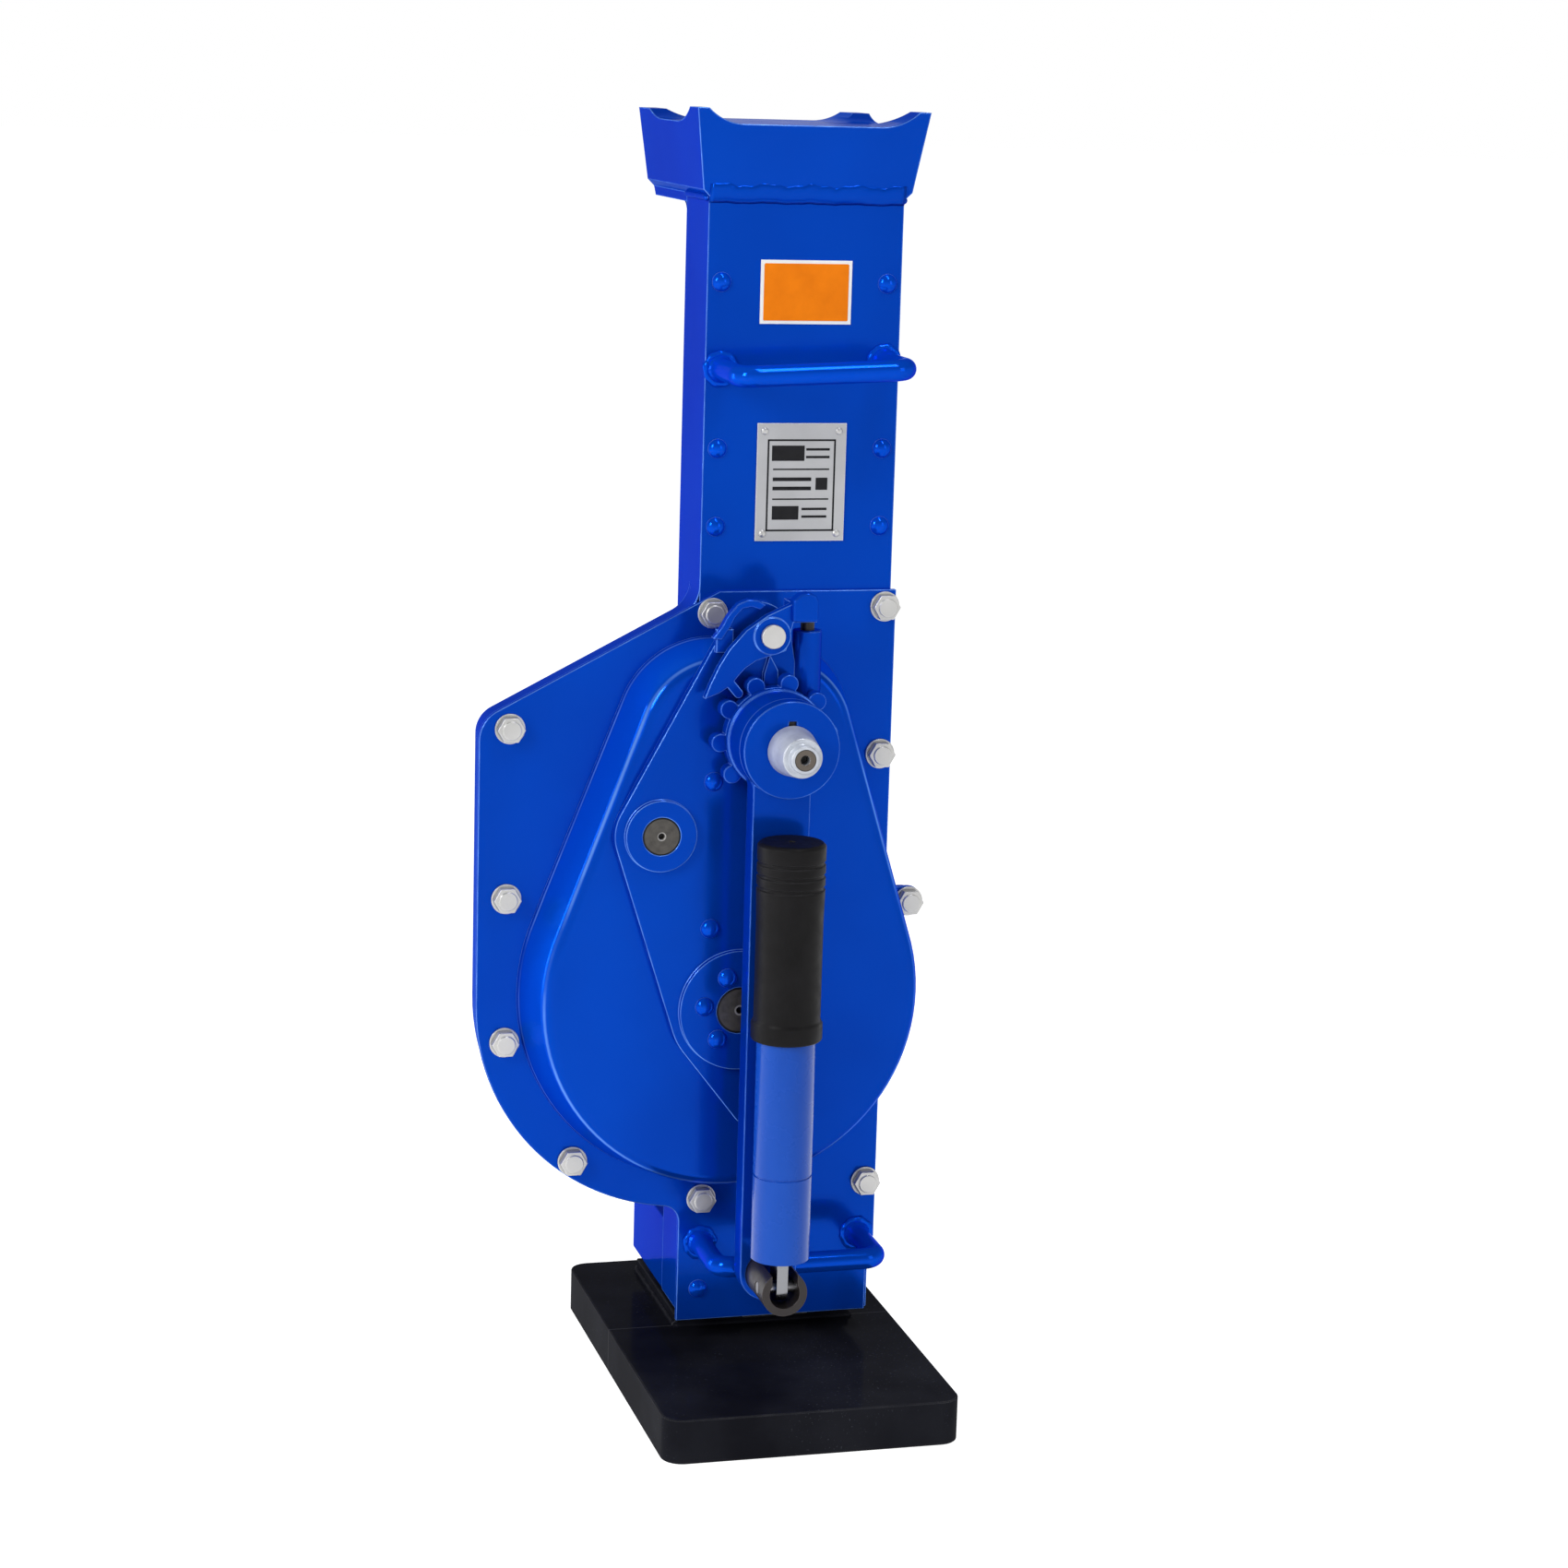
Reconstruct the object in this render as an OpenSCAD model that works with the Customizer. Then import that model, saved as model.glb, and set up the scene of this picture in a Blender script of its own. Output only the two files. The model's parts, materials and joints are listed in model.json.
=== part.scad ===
// Rack and pinion jack: the casing climbs a fixed rack when the crank is turned.
// X is to the right, Y runs away from the crank, Z is up.
// The origin is the centre of the underside of the base plate.

/* [Base] */
// Width of the base plate
base_w = 200; // [190:1:240]
// Depth of the base plate, front to back
base_d = 310; // [300:1:360]
// Thickness of the base plate
base_t = 30; // [24:1:36]
// Radius of the upright corners of the base plate
base_corner_r = 14; // [8:1:20]

/* [Column] */
// Width of the column
column_w = 130; // [128:1:140]
// Depth of the column
column_d = 60; // [60:1:70]
// Height of the top of the column above the floor
column_top = 800; // [790:1:860]
// Sideways offset of the column from the middle of the base
column_x = 8.5; // [4:0.5:12]
// Wall thickness of the column
wall_t = 5; // [4.5:0.5:5.5]
// Gap under the casing with the jack fully down
floor_gap = 17; // [14:1:20]

/* [Head and toe] */
// Height of the lifting head up to its seat
head_h = 46; // [36:1:56]
// Height of the four horns above the seat
horn_h = 10; // [6:1:14]
// Height of the rear lifting toe
toe_h = 52; // [40:1:64]
// Distance that the toe stands out behind the column
toe_d = 91; // [80:1:96]

/* [Gear case] */
// Thickness of the bolted front plate
plate_t = 4; // [3:0.5:5]
// Height of the top edge of the front plate above the floor
plate_top = 546; // [540:1:556]
// Radius of the round lower part of the gear case
case_r = 145; // [142:1:150]
// Depth of the gear case behind the front plate
case_d = 27; // [26:0.5:28]
// Height of the domed cover over its foot
dome_h = 39; // [38:1:44]
// Thickness of the bearing plate on the cover
bearing_t = 7; // [6:0.5:8]

/* [Gears] */
// Teeth of the pinion on the crank shaft
crank_teeth = 12; // [12:1:13]
// Teeth of the wheel on the middle shaft
middle_teeth = 52; // [50:1:52]
// Tooth module of the first gear pair
first_module = 3; // [2.9:0.05:3]
// Teeth of the pinion on the middle shaft
small_teeth = 11; // [11:1:12]
// Teeth of the large wheel on the output shaft
large_teeth = 54; // [53:1:55]
// Tooth module of the second gear pair
second_module = 4; // [3.9:0.05:4]
// Teeth of the pinion that runs on the rack
rack_pinion_teeth = 8; // [8:1:9]
// Tooth module of the rack
rack_module = 6; // [5.8:0.1:6.2]

/* [Crank] */
// Distance from the crank shaft to the handle socket
crank_r = 353; // [340:1:358]
// Width of the crank arm
arm_w = 38; // [34:1:40]
// Thickness of the crank arm
arm_t = 16; // [12:1:16]
// Radius of the crank hub
hub_r = 31.5; // [30:0.5:32]
// Length of the crank hub
hub_len = 41; // [38:1:46]
// Diameter of the handle rod
handle_d = 38; // [34:1:38]
// Diameter of the rubber grip
grip_d = 46; // [42:1:46]
// Length of the rubber grip
grip_len = 129; // [110:1:135]

/* [Carrying handles] */
// Diameter of the carrying handle rods
carry_rod_d = 14; // [12:1:14]
// Distance between the two feet of a carrying handle
carry_span = 110; // [100:1:112]
// Distance of a carrying handle's rod from the column
carry_reach = 57; // [52:1:58]

/* [Hidden] */

// Fineness of round shapes and the clearances between parts
$fn = 96;
hull_fn = 48;
fit_gap = 0.05;
slide_gap = 0.3;
free_gap = 0.5;
eps = 0.01;

// Column and casing, front faces have the smaller Y
rear_margin = 19;
toe_back_y = base_d / 2 - rear_margin;
toe_chamfer = 6;
column_back_y = toe_back_y - toe_d;
column_front_y = column_back_y - column_d;
column_left = column_x - column_w / 2;
column_right = column_x + column_w / 2;
inner_left = column_left + wall_t;
inner_right = column_right - wall_t;
casing_z = base_t + floor_gap;
foot_pad_t = 8;
pad_inset = 3;
rack_foot_z = base_t + foot_pad_t;

// Layers from front to back
plate_y = column_front_y - plate_t;
dome_y = plate_y - dome_h;
bearing_y = dome_y - bearing_t;
boss_h = 4;
boss_y = bearing_y - boss_h;
web_t = 4;
web_y = column_front_y + case_d - web_t;
web_margin = 45;
gear_gap = 1.5;
wheel_back_gap = 3.5;
first_gear_y = column_front_y + wall_t + gear_gap;
first_gear_t = web_y - wheel_back_gap - first_gear_y;
dome_wall = 4;
second_gear_t = 24;
second_gear_y = plate_y - wheel_back_gap - second_gear_t - gear_gap;

// Gear geometry
pressure_angle = 28;
addendum = 0.8;
dedendum = 1;
tooth_backlash = 0.3;
crank_pitch_r = first_module * crank_teeth / 2;
middle_pitch_r = first_module * middle_teeth / 2;
small_pitch_r = second_module * small_teeth / 2;
large_pitch_r = second_module * large_teeth / 2;
rack_pitch_r = rack_module * rack_pinion_teeth / 2;

// Shaft positions: the output shaft carries the others at fixed angles
output_in = 20.5;
output_up = 230;
output_x = column_left + output_in;
output_z = casing_z + output_up;
middle_angle = 115;
crank_angle = 43;
middle_x = output_x + (small_pitch_r + large_pitch_r) * cos(middle_angle);
middle_z = output_z + (small_pitch_r + large_pitch_r) * sin(middle_angle);
crank_x = middle_x + (crank_pitch_r + middle_pitch_r) * cos(crank_angle);
crank_z = middle_z + (crank_pitch_r + middle_pitch_r) * sin(crank_angle);
crank_shaft_r = 12;
middle_shaft_r = 12.5;
output_shaft_r = 15.5;
shaft_centre_r = 2;
shaft_centre_deep = 4;
bush_wall = 4;
cover_gap = 6;

// Tooth phases that put every pair in mesh at rest
middle_wheel_phase = crank_angle;
crank_pinion_phase = crank_angle + 180 + 180 / crank_teeth;
output_wheel_phase = middle_angle;
middle_pinion_phase = middle_angle + 180 + 180 / small_teeth;
rack_pinion_phase = 0;

// Rack
rack_pitch = PI * rack_module;
rack_gap_y = 1.7;
pocket_gap = 2;
pocket_wall = 4;
rack_y = web_y + web_t + rack_gap_y;
rack_t = column_back_y - wall_t - rack_gap_y - rack_y;
rack_pitch_x = output_x + rack_pitch_r;
rack_body_w = 52;
rack_top_gap = 12;
guide_inset = 4;
upper_guide_up = 130;
rack_back_x = rack_pitch_x + rack_body_w;
rack_top = column_top - rack_top_gap;
guide_h = 30;
pocket_r = rack_pitch_r + addendum * rack_module + pocket_gap;
lower_guide_z = casing_z + guide_inset;
upper_guide_z = output_z + upper_guide_up;

// Outline of the front plate and the gear case
plate_left = column_left - case_r;
plate_over = 2.6;
arc_drop = 4;
arc_z = output_z - arc_drop;
slope = 27.6;
slope_in = 12.8;
slope_start_x = column_left + slope_in;
corner_r = 22;
corner_tangent = corner_r / tan((90 + slope) / 2);
corner_z = plate_top - (slope_start_x - plate_left) * tan(slope) - corner_tangent;
neck_out = 5;
neck_x = column_left - neck_out;
neck_r = 12;
neck_z = arc_z - sqrt(pow(case_r, 2) - pow(column_left - neck_x + neck_r, 2)) - neck_r;
neck_arc_end = 180 + acos((column_left - neck_x + neck_r) / case_r);
plate_low_step = 5;
plate_low_up = 52;
plate_low_z = casing_z + plate_low_up;
arc_step = 3;
case_inset = 3;
case_wall = 4;
case_gap = 6;
case_fillet_r = 20;

// Case bolts: six along the straight edges, three round the rim and one on the ear beside the column
bolt_left_in = 8;
bolt_right_in = 5;
bolt_top_in = 14;
bolt_top_right_in = 11;
bolt_crank_drop = 24.3;
bolt_low_over = 37;
carry_case_gap = 26;
carry_lower_z = arc_z - case_r - carry_case_gap;
bolt_corner_in = 20;
bolt_corner_up = 7.8;
bolt_side_in = 19;
bolt_side_up = 72;
rim_bolt_share = [0.886, 0.928, 0.968];
rim_bolt_angle = [191.2, 234.1, 274.1];
bolt_spots = concat(
    [[column_left + bolt_left_in, plate_top - bolt_top_in],
        [column_right - bolt_right_in, plate_top - bolt_top_right_in],
        [column_right - bolt_right_in, crank_z - bolt_crank_drop],
        [column_right - bolt_right_in, carry_lower_z + bolt_low_over],
        [plate_left + bolt_corner_in, corner_z + bolt_corner_up],
        [plate_left + bolt_side_in, arc_z + bolt_side_up]],
    [for (i = [0 : len(rim_bolt_share) - 1]) let (reach = case_r * rim_bolt_share[i])
        [column_left + reach * cos(rim_bolt_angle[i]), arc_z + reach * sin(rim_bolt_angle[i])]]);
bolt_r = 4;
bolt_head_r = 9.2;
bolt_head_h = 6;
bolt_face_r = 6;
bolt_face_h = 1.4;
bolt_len = 15;
bolt_tip_gap = 3;
washer_r = 10;
washer_t = 1.6;
washer_gap = 1.3;
lug_r = 9;
ear_r = washer_r;

// Domed cover: its low foot reaches as near to the bolts as their washers allow
dome_foot_left = 6;
dome_face_left = 1.8;
dome_up = 3.5;
dome_low_slope = 5;
dome_high_left = 29.3;
dome_high_drop = 5.3;
dome_side_in = 88.5;
dome_high_slope = 7;
dome_low_foot = [output_x - dome_foot_left, output_z + dome_up];
dome_low_face = [output_x - dome_face_left, output_z + dome_up];
dome_high = [crank_x - dome_high_left, crank_z - dome_high_drop];
dome_side = [column_right - dome_side_in, crank_z - dome_high_drop];
dome_low_foot_r = min([for (p = bolt_spots) norm(p - dome_low_foot)]) - washer_r - washer_gap;
dome_low_face_r = dome_low_foot_r - dome_low_slope;
dome_high_foot_r = 62;
dome_high_face_r = dome_high_foot_r - dome_high_slope;
dome_edge_r = 9;
ear_bolt_gap = 1.5;
ear_bolt_angle = 21.9;
ear_bolt_reach = dome_low_foot_r + washer_r + ear_bolt_gap;
ear_bolt = [dome_low_foot[0] + ear_bolt_reach * cos(ear_bolt_angle),
    dome_low_foot[1] + ear_bolt_reach * sin(ear_bolt_angle)];
bolt_places = concat(bolt_spots, [ear_bolt]);

// Rivets with domed heads
rivet_head_r = 6.5;
rivet_head_h = 4;
rivet_shank_r = 3;
column_rivet_share = [0.2126, 0.6339, 0.8346];
column_rivet_z = [for (share = column_rivet_share) column_top - share * (column_top - plate_top)];
column_rivet_in = 9.5;
plate_rivet_share = 0.4;
plate_rivet_z = casing_z + plate_rivet_share * (carry_lower_z - casing_z);

// Lever, ratchet and spring of the holding pawl
ratchet_t = 9.5;
ratchet_gap = 3;
ratchet_y = boss_y - ratchet_gap - ratchet_t;
ratchet_hub_r = crank_shaft_r + 6;
ratchet_hub_len = ratchet_t + ratchet_gap - free_gap;
ratchet_tip_r = 42;
ratchet_lobe_r = 6;
ratchet_root_r = 33;
ratchet_lobes = 10;
ratchet_phase = 112;
pawl_t = 6.5;
pawl_y = ratchet_y + ratchet_t - pawl_t - free_gap;
pawl_left = 3.2;
pawl_up = 66;
pawl_x = crank_x - pawl_left;
pawl_z = crank_z + pawl_up;
pawl_pin_r = 5;
pawl_boss_r = 12;
pawl_boss_h = 1.4;
pawl_head_r = 7.8;
pawl_head_h = 3.6;
pawl_head_gap = 0.2;
pawl_tooth_r = 3;
pawl_tooth_reach = 38;
pawl_tooth_len = 15;
pawl_tooth_angle = ratchet_phase + 180 / ratchet_lobes;
plunger_right = 28.2;
plunger_front = 3;
plunger_x = pawl_x + plunger_right;
plunger_y = dome_y - plunger_front;
plunger_r = 4.5;
plunger_collar_r = 6;
plunger_collar_h = 3;
plunger_tip_over = 1.5;
housing_r = 9.5;
housing_bore_r = 6.6;
housing_up = 1;
housing_len = 47;
housing_top_z = pawl_z + housing_up;
housing_low_z = housing_top_z - housing_len;
housing_floor = 6;
housing_cap = 3;
plunger_collar_z = housing_top_z - housing_cap - plunger_collar_h - slide_gap;
pad_low = 8.5;
pad_h = 12;
pad_right = 29.4;
pad_w = 15.6;
pad_over = 2;
pad_low_z = pawl_z + pad_low;

// Outline of the lever from its pivot, as shares of its reach: left end, over the top, pad, back below
lever_reach = 43.2;
lever_share = [[-1, -0.926], [-0.926, -0.729], [-0.794, -0.447], [-0.641, -0.197], [-0.391, 0.086],
    [-0.074, 0.303], [0.278, 0.463], [0.625, 0.509], [0.68, 0.37], [0.68, 0.197], [0.32, 0.197],
    [0.218, -0.225], [0.007, -0.292], [-0.234, -0.368], [-0.407, -0.484], [-0.516, -0.609],
    [-0.625, -0.741], [-0.787, -0.845]];

// Corners of the bearing plate: centre X, centre Z and radius
bearing_low_r = 20;
bearing_low_down = 62;
bearing_output_r = 46;
bearing_middle_r = 30;
bearing_top_r = 22;
bearing_top_left = 6;
bearing_top_down = 2;
bearing_inner_right = 20;
bearing_rim = 2;
boss_output_r = 40;
boss_middle_r = 23.5;
boss_crank_r = 22;
bearing_low = [crank_x, output_z - bearing_low_down, bearing_low_r];
bearing_output = [output_x, output_z, bearing_output_r];
bearing_middle = [middle_x, middle_z, bearing_middle_r];
bearing_top = [pawl_x - bearing_top_left, pawl_z - bearing_top_down, bearing_top_r];
bearing_inner = [output_x + bearing_inner_right, output_z, boss_middle_r];
bearing_crank = [crank_x, crank_z, boss_crank_r + bearing_rim];
ring_rivet_r = 24;
ring_rivets = 6;
ring_rivet_phase = 172;
inner_rivet_right = 34.5;
inner_rivet_up = 34.5;
inner_rivet_down = 63;
bearing_rivet_places = [[middle_x + inner_rivet_right, middle_z + inner_rivet_up],
    [middle_x + inner_rivet_right, middle_z - inner_rivet_down]];

// Fin above the ratchet wheel, as shares of its height over the crank axis, and stop block beside the pawl
fin_h = 52;
fin_share = [[-0.115, 0.346], [0.115, 0.346], [0.077, 0.808], [-0.029, 1], [-0.096, 0.769]];
stop_left = 34;
stop_w = 11;
stop_down = 12;
stop_h = 15;

// Spring inside the spring housing
spring_wire_r = 0.7;
spring_coil_r = 5.2;
spring_turns = 6;
spring_rings_per_turn = 12;
spring_sides = 6;
spring_low_z = housing_low_z + housing_floor + spring_wire_r;
spring_high_z = plunger_collar_z - spring_wire_r;

// Crank, socket and folding handle
hub_gap = 0.8;
hub_y = ratchet_y - hub_gap - hub_len;
hub_step_r = hub_r + 1.5;
hub_step_t = 5;
arm_back = 21;
arm_y = hub_y + arm_back;
socket_r = 15;
socket_bore_r = 10;
socket_z = crank_z - crank_r;
fold_reach = 27;
socket_over = 15;
socket_back_over = 1.5;
fold_y = arm_y - fold_reach;
socket_y = fold_y - socket_over;
socket_back_y = arm_y + arm_t + socket_back_over;
socket_slot_gap = 2;
socket_slot_w = 17;
fold_pin_r = 4;
fold_pin_len = 29;
tenon_t = 7.6;
tenon_r = 8.7;
handle_lift = 20.2;
handle_low_z = socket_z + handle_lift;
handle_core_r = 10;
handle_len = 146;
seam_up = 56;
seam_z = handle_low_z + seam_up;
seam_h = 1.2;
seam_deep = 0.8;
grip_z = handle_low_z + handle_len + free_gap;
grip_cap = 6;
grip_core_gap = 2;
grip_ring_deep = 0.9;
grip_ring_h = 2.4;
grip_rings = 3;
grip_ring_step = 8;
grip_ring_in = 14;
grip_collar_h = 11;
grip_waist_h = 14;
grip_waist_in = 1.5;
grip_swell_in = 1;
grip_edge = 2;
grip_waist_share = 0.6;
grip_swell_share = 0.75;
spigot_root_r = 16.3;
spigot_len = 26;
spigot_nose_r = 12.7;
spigot_step_r = 9;
spigot_step_len = 6;
spigot_hole_r = 3;
spigot_hole_deep = 8;
key_w = 5;
key_top_r = 18.5;
key_deep = 14;
key_recess = 2;
key_low_r = 8.4;

// Carrying handles
carry_foot_r = 10;
carry_foot_h = 7;
carry_bend_r = 10;
carry_tilt = 2.6;
carry_down = 107;
carry_upper_z = column_top - carry_down;

// Plates for markings, left plain
label_w = 61;
label_h = 41;
label_t = 0.8;
label_down = 60;
label_z = column_top - label_down;
name_w = 60;
name_h = 77;
name_t = 1.4;
name_down = 183;
name_z = column_top - name_down;
name_pin_r = 1.6;
name_pin_head_r = 2.6;
name_pin_in = 5;
name_pin_x = name_w / 2 - name_pin_in;
name_pin_z = name_h / 2 - name_pin_in;
marking_right = 0.8;
marking_x = column_x + marking_right;

// Lifting head
head_over = 4.5;
head_front_over = 2;
head_back_over = 5;
head_low_w = column_w + 2 * head_over;
head_flare = 7.5;
head_front_flare = 12;
head_back_drop = 6;
rear_horn_drop = 4;
head_front_y = column_front_y - head_front_over;
head_back_y = toe_back_y + head_back_over;
head_top_z = column_top + head_h + horn_h;
head_seat_z = column_top + head_h;
front_valley_r = 35;
front_valley_in = 24.5;
side_valley_r = 85;
side_valley_w = 46;
head_mid_y = (head_front_y - head_front_flare + head_back_y) / 2;

// Points on an arc, from one angle to another, both ends kept
function arc_points(cx, cy, r, from, to) =
    let (steps = ceil(abs(to - from) / arc_step))
    [for (i = [0 : steps]) let (a = from + (to - from) * i / steps) [cx + r * cos(a), cy + r * sin(a)]];

// Involute gear outline with a tooth centred on the X axis
function involute(a) = tan(a) * 180 / PI - a;
function half_tooth(r, pitch_r, base_r, teeth) =
    90 / teeth - tooth_backlash / 4 / pitch_r * 180 / PI + involute(pressure_angle)
    - (r > base_r ? involute(acos(base_r / r)) : 0);
function tooth_flank(module_mm, teeth, side) =
    let (pitch_r = module_mm * teeth / 2)
    let (base_r = pitch_r * cos(pressure_angle))
    let (tip_r = pitch_r + addendum * module_mm)
    let (root_r = pitch_r - dedendum * module_mm)
    let (start_r = max(base_r, root_r))
    let (steps = 4)
    [for (i = [0 : steps])
        let (k = side < 0 ? i : steps - i)
        let (r = start_r + (tip_r - start_r) * k / steps)
        [r, side * half_tooth(r, pitch_r, base_r, teeth)]];
function gear_tooth(module_mm, teeth) =
    let (pitch_r = module_mm * teeth / 2)
    let (root_r = pitch_r - dedendum * module_mm)
    let (base_r = pitch_r * cos(pressure_angle))
    let (root_half = half_tooth(root_r, pitch_r, base_r, teeth))
    let (undercut = root_r < base_r)
    concat([[root_r, -180 / teeth]], undercut ? [[root_r, -root_half]] : [],
        tooth_flank(module_mm, teeth, -1), tooth_flank(module_mm, teeth, 1),
        undercut ? [[root_r, root_half]] : []);
function gear_points(module_mm, teeth, phase) =
    [for (i = [0 : teeth - 1]) for (p = gear_tooth(module_mm, teeth))
        let (a = phase + 360 * i / teeth + p[1]) [p[0] * cos(a), p[0] * sin(a)]];

// Upright slab: its outline is drawn in X and Z, its front face is at y
module slab(y, t) {
    translate([0, y + t, 0])
        rotate([90, 0, 0])
            linear_extrude(t)
                children();
}

// Round bar along Y
module bar_y(x, z, r, y, len) {
    translate([x, y + len, z])
        rotate([90, 0, 0])
            cylinder(r = r, h = len);
}

// Domed button whose flat side faces back, at y
module button_y(x, z, r, h, y) {
    ball_r = (r * r + h * h) / (2 * h);
    translate([x, y, z])
        rotate([90, 0, 0])
            intersection() {
                cylinder(r = r, h = h);
                translate([0, 0, h - ball_r])
                    sphere(r = ball_r);
            }
}

// Block given by its lower and upper limits on each axis
module block(x, y, z) {
    translate([x[0], y[0], z[0]])
        cube([x[1] - x[0], y[1] - y[0], z[1] - z[0]]);
}

module gear_y(module_mm, teeth, phase, x, z, y, t, bore_r) {
    difference() {
        slab(y, t)
            translate([x, z])
                polygon(gear_points(module_mm, teeth, phase));
        bar_y(x, z, bore_r + fit_gap, y - eps, t + 2 * eps);
    }
}

// Shaft along Y with a small centre hole in its front end
module shaft_y(x, z, r, y, len) {
    difference() {
        bar_y(x, z, r, y, len);
        bar_y(x, z, shaft_centre_r, y - eps, shaft_centre_deep);
    }
}

module base_plate() {
    corner_x = base_w / 2 - base_corner_r;
    corner_y = base_d / 2 - base_corner_r;
    color([0.05, 0.05, 0.06])
        linear_extrude(base_t)
            union() {
                square([base_w, 2 * corner_y], center = true);
                square([2 * corner_x, base_d], center = true);
                for (sx = [-1, 1])
                    for (sy = [-1, 1])
                        translate([sx * corner_x, sy * corner_y])
                            circle(r = base_corner_r);
            }
}

// Welded pad that carries the rack under the casing
module foot_pad() {
    color([0.07, 0.07, 0.08])
        difference() {
            block([column_left + pad_inset, column_right - pad_inset],
                [column_back_y - column_d / 2, toe_back_y], [base_t, rack_foot_z]);
            block([rack_pitch_x + rack_module, rack_back_x], [rack_y, rack_y + rack_t],
                [rack_foot_z - foot_pad_t / 2, rack_foot_z + eps]);
        }
}

// Outline of the rack in X and Z, teeth toward the pinion
module rack_outline() {
    tip = addendum * rack_module;
    root = dedendum * rack_module;
    half_pitch_line = rack_pitch / 4 - tooth_backlash / 4;
    tooth_start = rack_foot_z + rack_module;
    first_tooth = output_z + rack_pitch / 2 - rack_pitch * floor((output_z - tooth_start) / rack_pitch);
    union() {
        translate([rack_pitch_x + root, rack_foot_z - foot_pad_t / 2])
            square([rack_back_x - rack_pitch_x - root, rack_top - rack_foot_z + foot_pad_t / 2]);
        for (z = [first_tooth : rack_pitch : rack_top - rack_pitch])
            polygon([[rack_pitch_x + root + eps, z - half_pitch_line - root * tan(pressure_angle)],
                [rack_pitch_x + root + eps, z + half_pitch_line + root * tan(pressure_angle)],
                [rack_pitch_x - tip, z + half_pitch_line - tip * tan(pressure_angle)],
                [rack_pitch_x - tip, z - half_pitch_line + tip * tan(pressure_angle)]]);
    }
}

module rack_bar() {
    color([0.45, 0.45, 0.47])
        slab(rack_y, rack_t)
            rack_outline();
}

// Gear case outline left of the column, drawn in by an inset
module case_outline(inset) {
    start_z = plate_top - (slope_start_x - column_left) * tan(slope) - inset / cos(slope);
    fillet = case_fillet_r + inset;
    tangent = fillet * tan((90 - slope) / 2);
    polygon(concat(
        [[column_left + wall_t, start_z + tangent]],
        arc_points(column_left - fillet, start_z + tangent, fillet, 0, slope - 90),
        arc_points(plate_left + corner_r, corner_z, corner_r - inset, 90 + slope, 180),
        arc_points(column_left, arc_z, case_r - inset, 180, 270),
        [[column_left + wall_t, arc_z - case_r + inset]]));
}

module bolt_lugs(y, len, r) {
    for (p = bolt_spots)
        bar_y(p[0], p[1], r, y, len);
}

module bolt_holes(y, len, r) {
    for (p = bolt_places)
        bar_y(p[0], p[1], r, y, len);
}

// Ear that carries the one bolt beside the column
module side_ear(y, t, r) {
    slab(y, t)
        union() {
            translate(ear_bolt)
                circle(r = r);
            translate([column_right - wall_t, ear_bolt[1] - r])
                square([ear_bolt[0] - column_right + wall_t, 2 * r]);
        }
}

module shaft_opening(x, z, r, y, len) {
    bar_y(x, z, r, y - eps, len + 2 * eps);
}

module column_casing() {
    color([0.02, 0.16, 0.62])
        difference() {
            union() {
                difference() {
                    union() {
                        block([column_left, column_right], [column_front_y, column_back_y],
                            [casing_z, column_top]);
                        // pocket beside the column for the teeth of the rack pinion
                        block([output_x - pocket_r - pocket_wall, column_left + eps], [web_y, column_back_y],
                            [output_z - pocket_r - pocket_wall, output_z + pocket_r + pocket_wall]);
                    }
                    block([output_x - pocket_r, inner_left + eps], [web_y + web_t, column_back_y - wall_t],
                        [output_z - pocket_r, output_z + pocket_r]);
                    block([inner_left, inner_right], [column_front_y + wall_t, column_back_y - wall_t],
                        [casing_z - eps, column_top + eps]);
                    // opening between the column and the gear case
                    block([column_left - eps, inner_left + eps],
                        [first_gear_y - gear_gap, web_y],
                        [middle_z - middle_pitch_r - case_gap, middle_z + middle_pitch_r + case_gap]);
                }
                difference() {
                    slab(column_front_y, case_d)
                        case_outline(case_inset);
                    slab(column_front_y - eps, case_d - web_t + eps)
                        case_outline(case_inset + case_wall);
                    block([column_left, inner_left + wall_t + eps], [column_front_y - eps, column_back_y],
                        [casing_z - eps, column_top]);
                }
                intersection() {
                    bolt_lugs(column_front_y, case_d - web_t, lug_r);
                    slab(column_front_y, case_d)
                        union() {
                            case_outline(case_inset);
                            translate([column_left, casing_z])
                                square([column_w, column_top - casing_z]);
                        }
                }
                side_ear(column_front_y, case_d / 2, ear_r - case_inset);
            }
            bolt_holes(column_front_y - eps, bolt_len - plate_t + bolt_tip_gap, bolt_r + fit_gap);
            // bearings: the crank and output shafts pass the front wall, the middle one sits in the back wall
            shaft_opening(crank_x, crank_z, crank_shaft_r + cover_gap, column_front_y, wall_t);
            shaft_opening(output_x, output_z, output_shaft_r + cover_gap, column_front_y, wall_t);
            shaft_opening(middle_x, middle_z, middle_shaft_r + bush_wall + fit_gap, web_y, web_t);
            shaft_opening(output_x, output_z, output_shaft_r + bush_wall + fit_gap, column_back_y - wall_t,
                wall_t);
            for (z = column_rivet_z)
                for (x = [column_left + column_rivet_in, column_right - column_rivet_in])
                    bar_y(x, z, rivet_shank_r + fit_gap, column_front_y - eps, wall_t + 2 * eps);
            bar_y(column_left + column_rivet_in, plate_rivet_z, rivet_shank_r + fit_gap, column_front_y - eps,
                wall_t + 2 * eps);
            for (sx = [-1, 1])
                for (sz = [-1, 1])
                    bar_y(marking_x + sx * name_pin_x, name_z + sz * name_pin_z, name_pin_r + fit_gap,
                        column_front_y - eps, wall_t / 2);
        }
}

// Valley with a flat floor at the seat, curving up past both ends
module valley_outline(from, to, r) {
    polygon(concat(arc_points(from, head_seat_z + r, r, 180, 270),
        arc_points(to, head_seat_z + r, r, 270, 360)));
}

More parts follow.
